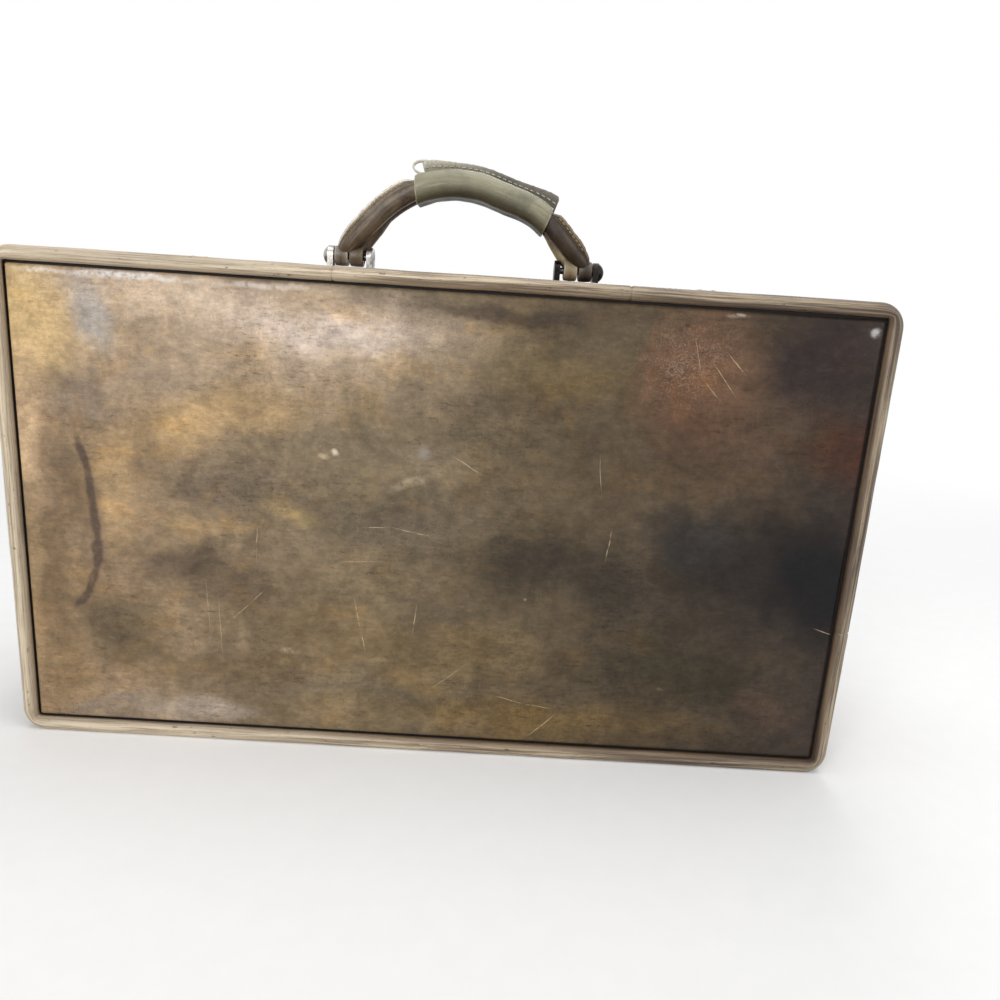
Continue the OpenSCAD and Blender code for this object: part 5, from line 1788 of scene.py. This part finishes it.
class BRIEFCASE_OT_panels(bpy.types.Operator):
    """Padded leather panels of the front and the back"""

    bl_idname = "briefcase.panels"
    bl_label = "Panels"

    def execute(self, context):
        front = padded_panel("front_panel", -1, 2.0)
        finish = panel_leather(
            "front_leather", FRONT_RUN_WITH_FALLOFF, FRONT_STAINS_AND_GLARE, FRONT_SCRATCHES,
            FRONT_WEDGES, FRONT_DRIP, FRONT_GLITTER, FRONT_SCUFFS_AND_GLINTS,
        )
        settle(front, "lid", "panel_leather", finish, "front_panel")
        back = padded_panel("back_panel", 1, 7.0)
        finish = panel_leather("back_leather", BACK_RUN, BACK_STAINS, BACK_SCRATCHES)
        settle(back, "base", "panel_leather", finish, "back_panel")
        return {"FINISHED"}


class BRIEFCASE_OT_beads(bpy.types.Operator):
    """Leather covered bead round each face"""

    bl_idname = "briefcase.beads"
    bl_label = "Beads"

    def execute(self, context):
        for name, body, side, seed in (
            ("front_bead", "lid", -1, 1.0),
            ("back_bead", "base", 1, 6.0),
        ):
            finish = bead_leather(name + "_leather", -side)
            settle(bead(name, side, seed), body, "bead_leather", finish, name)
        return {"FINISHED"}


class BRIEFCASE_OT_sides(bpy.types.Operator):
    """Stitched leather on the sides of both halves"""

    bl_idname = "briefcase.sides"
    bl_label = "Sides"

    def execute(self, context):
        c = colours()
        body, dark, pale = tuple(c.side_brown), tone(84, 62, 42), tone(176, 148, 106)
        finish = cased_leather("side_leather", body, dark, pale)
        yarn = thread("waxed_thread", tuple(c.thread_cream))
        for body, side in HALVES:
            name = body + "_cover"
            settle(side_covering(name, side, 3.0 * side), body, "side_leather", finish, name)
            settle(cover_stitches(name, side), body, "side_leather", yarn)
        return {"FINISHED"}


class BRIEFCASE_OT_linings(bpy.types.Operator):
    """Brushed cloth inside both halves"""

    bl_idname = "briefcase.linings"
    bl_label = "Linings"

    def execute(self, context):
        finish = brushed_cloth("lining_cloth", tuple(colours().lining_brown))
        for body, side in HALVES:
            name = body + "_lining"
            settle(lining(name, side, 4.0 * side), body, "lining", finish, name)
        return {"FINISHED"}


class BRIEFCASE_OT_pocket(bpy.types.Operator):
    """Document pocket in the lid with its band"""

    bl_idname = "briefcase.pocket"
    bl_label = "Pocket"

    def execute(self, context):
        tones = (tone(120, 92, 64), tone(84, 62, 44), tone(160, 130, 94))
        leather = cased_leather("pocket_leather", *tones, 1.6, (0.5, 0.68))
        band = cased_leather("band_leather", tone(98, 70, 44), tone(66, 46, 30), tone(150, 118, 78))
        yarn = thread("pocket_thread", tuple(colours().thread_cream))
        settle(pocket(), "lid", "lining", leather, "document_pocket")
        settle(pocket_trim(), "lid", "side_leather", band, "pocket_band")
        settle(pocket_stitches(), "lid", "side_leather", yarn)
        return {"FINISHED"}


class BRIEFCASE_OT_handle(bpy.types.Operator):
    """Rolled strands of the handle with their stitching"""

    bl_idname = "briefcase.handle"
    bl_label = "Handle"

    def execute(self, context):
        # Each strand's tones at its two ends are lit and shaded copies: painted light and shade.
        front = strand_leather(
            "strand_front_leather",
            (tone(108, 94, 76), tone(56, 45, 36), tone(222, 214, 200)),
            (tone(70, 58, 47), tone(38, 31, 27), tone(128, 114, 98)),
        )
        rear = strand_leather(
            "strand_rear_leather",
            (tone(106, 92, 74), tone(58, 47, 37), tone(150, 134, 110)),
            (tone(160, 148, 118), tone(120, 104, 78), tone(212, 198, 172)),
        )
        yarn = thread("handle_thread", tone(178, 158, 112))
        for (key, form), finish, seed in zip(STRANDS.items(), (front, rear), (11.0, 17.0)):
            node = "handle_strand_" + key
            loops = [eye_loop("loop", form, side, seed + side) for side in (-1, 1)]
            piece = join(strand(node + "_leather", form, seed), *loops)
            settle(seat_handle(piece), "handle", "strand_leather", finish, node)
            rows = strand_stitches(node + "_stitches", form, seed)
            settle(seat_handle(rows), "handle", "strand_leather", yarn)
        return {"FINISHED"}


class BRIEFCASE_OT_grip(bpy.types.Operator):
    """Sleeve of leather round the strands with its seam"""

    bl_idname = "briefcase.grip"
    bl_label = "Grip"

    def execute(self, context):
        c = colours()
        sleeve = strand_leather(
            "grip_leather",
            (tuple(c.grip_khaki), tone(118, 114, 92), tone(196, 190, 164)),
            (tone(140, 136, 112), tone(106, 102, 84), tone(190, 184, 160)),
            underside_shade=0.85,
        )
        # The seam's dark right end is painted shade.
        fin = strand_leather(
            "seam_leather",
            (tone(146, 142, 124), tone(96, 92, 78), tone(200, 194, 178)),
            (tone(74, 71, 63), tone(34, 32, 29), tone(120, 115, 104)),
        )
        yarn = thread("grip_thread", tone(206, 200, 180))
        settle(seat_handle(grip()), "handle", "grip_leather", sleeve, "grip_wrap")
        settle(seat_handle(grip_seam()), "handle", "grip_leather", fin)
        settle(seat_handle(seam_tab()), "handle", "grip_leather", fin)
        settle(seat_handle(grip_stitches()), "handle", "grip_leather", yarn)
        return {"FINISHED"}


class BRIEFCASE_OT_fittings(bpy.types.Operator):
    """Finishes of the metal and the wood that stay as the frame has them"""

    bl_idname = "briefcase.fittings"
    bl_label = "Fittings"

    def execute(self, context):
        c = colours()
        brass = old_metal("brass", tuple(c.brass), tone(112, 88, 54))
        rim = old_metal("brass_rim", tuple(c.brass), tone(124, 98, 60), (0.3, 0.5), (4.0, 1.0, 4.0))
        steel = old_metal("steel", tuple(c.steel), tone(74, 72, 74), (0.22, 0.48))
        dark = old_metal("steel_dark", tone(58, 58, 62), tone(34, 32, 33), (0.24, 0.46))
        # The left bracket's pale steel and the right one's black are lit and shaded copies: painted
        # light and shade.
        lit_steel = old_metal("steel_painted_lit", tone(176, 172, 166), tone(66, 66, 72), (0.26, 0.5))
        shaded_steel = old_metal("steel_painted_shade", tone(50, 45, 43), tone(28, 25, 24), (0.28, 0.5))
        wood = bare_wood("wood", tone(198, 164, 118), tone(150, 114, 76))
        stained = bare_wood("stained_board", tone(30, 22, 18), tone(18, 14, 12))
        special = {
            "base_rim": rim, "lid_rim": rim, "handle_eyes_left": dark, "handle_eyes_right": dark,
            "handle_bracket_left": lit_steel, "handle_bracket_right": shaded_steel,
            "front_board": stained, "back_board": stained,
        }
        by_slot = {"brass": brass, "steel": steel, "wood": wood}
        slots = {part["node"]: part["material_slot"] for part in frame["record"]["subparts"]}
        for name, node in frame["nodes"].items():
            finish = special.get(name) or by_slot.get(slots[name])
            if finish:
                node.data.materials.clear()
                node.data.materials.append(finish)
        return {"FINISHED"}


class BRIEFCASE_OT_stage(bpy.types.Operator):
    """Floor, world, lamps and the photograph's camera"""

    bl_idname = "briefcase.stage"
    bl_label = "Stage"

    def execute(self, context):
        stage = context.scene.briefcase_stage
        clear_selection()
        bpy.ops.mesh.primitive_circle_add(
            vertices=96, radius=stage.floor_size / 2, fill_type="NGON", location=(0, 0, 0)
        )
        floor = take("floor")
        floor.data.materials.append(floor_finish())
        floor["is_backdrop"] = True
        plain_world()
        lamps()
        clear_selection()
        bpy.ops.object.camera_add(location=stage.camera_place, rotation=stage.camera_turn)
        camera = take("camera")
        camera.data.lens = stage.camera_lens
        camera.data.sensor_width = 36
        camera.data.clip_end = 50
        context.scene.camera = camera
        context.scene.view_settings.view_transform = "Standard"
        return {"FINISHED"}


class BRIEFCASE_PT_parts(bpy.types.Panel):
    bl_idname = "BRIEFCASE_PT_parts"
    bl_label = "Briefcase"
    bl_space_type = "VIEW_3D"
    bl_region_type = "UI"
    bl_category = "Briefcase"

    def draw(self, context):
        scene = context.scene
        for group in (scene.briefcase_sizes, scene.briefcase_colours, scene.briefcase_stage):
            box = self.layout.box()
            for key in group.__annotations__:
                box.prop(group, key)
        for operator in OPERATORS:
            self.layout.operator(operator.bl_idname)


OPERATORS = (
    BRIEFCASE_OT_stage,
    BRIEFCASE_OT_panels,
    BRIEFCASE_OT_beads,
    BRIEFCASE_OT_sides,
    BRIEFCASE_OT_linings,
    BRIEFCASE_OT_pocket,
    BRIEFCASE_OT_handle,
    BRIEFCASE_OT_grip,
    BRIEFCASE_OT_fittings,
)
CLASSES = (BriefcaseSizes, BriefcaseColours, BriefcaseStage, *OPERATORS, BRIEFCASE_PT_parts)


def register():
    for item in CLASSES:
        bpy.utils.register_class(item)
    bpy.types.Scene.briefcase_sizes = PointerProperty(type=BriefcaseSizes)
    bpy.types.Scene.briefcase_colours = PointerProperty(type=BriefcaseColours)
    bpy.types.Scene.briefcase_stage = PointerProperty(type=BriefcaseStage)


def unregister():
    del bpy.types.Scene.briefcase_stage
    del bpy.types.Scene.briefcase_colours
    del bpy.types.Scene.briefcase_sizes
    for item in reversed(CLASSES):
        bpy.utils.unregister_class(item)


def main():
    register()
    for operator in OPERATORS:
        group, name = operator.bl_idname.split(".")
        getattr(getattr(bpy.ops, group), name)()
    visual_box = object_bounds()
    boxes = {"cad": cad_box, "visual": visual_box}
    {k: [list(corner) for corner in box] for k, box in boxes.items()}


if __name__ == "__main__":
    main()
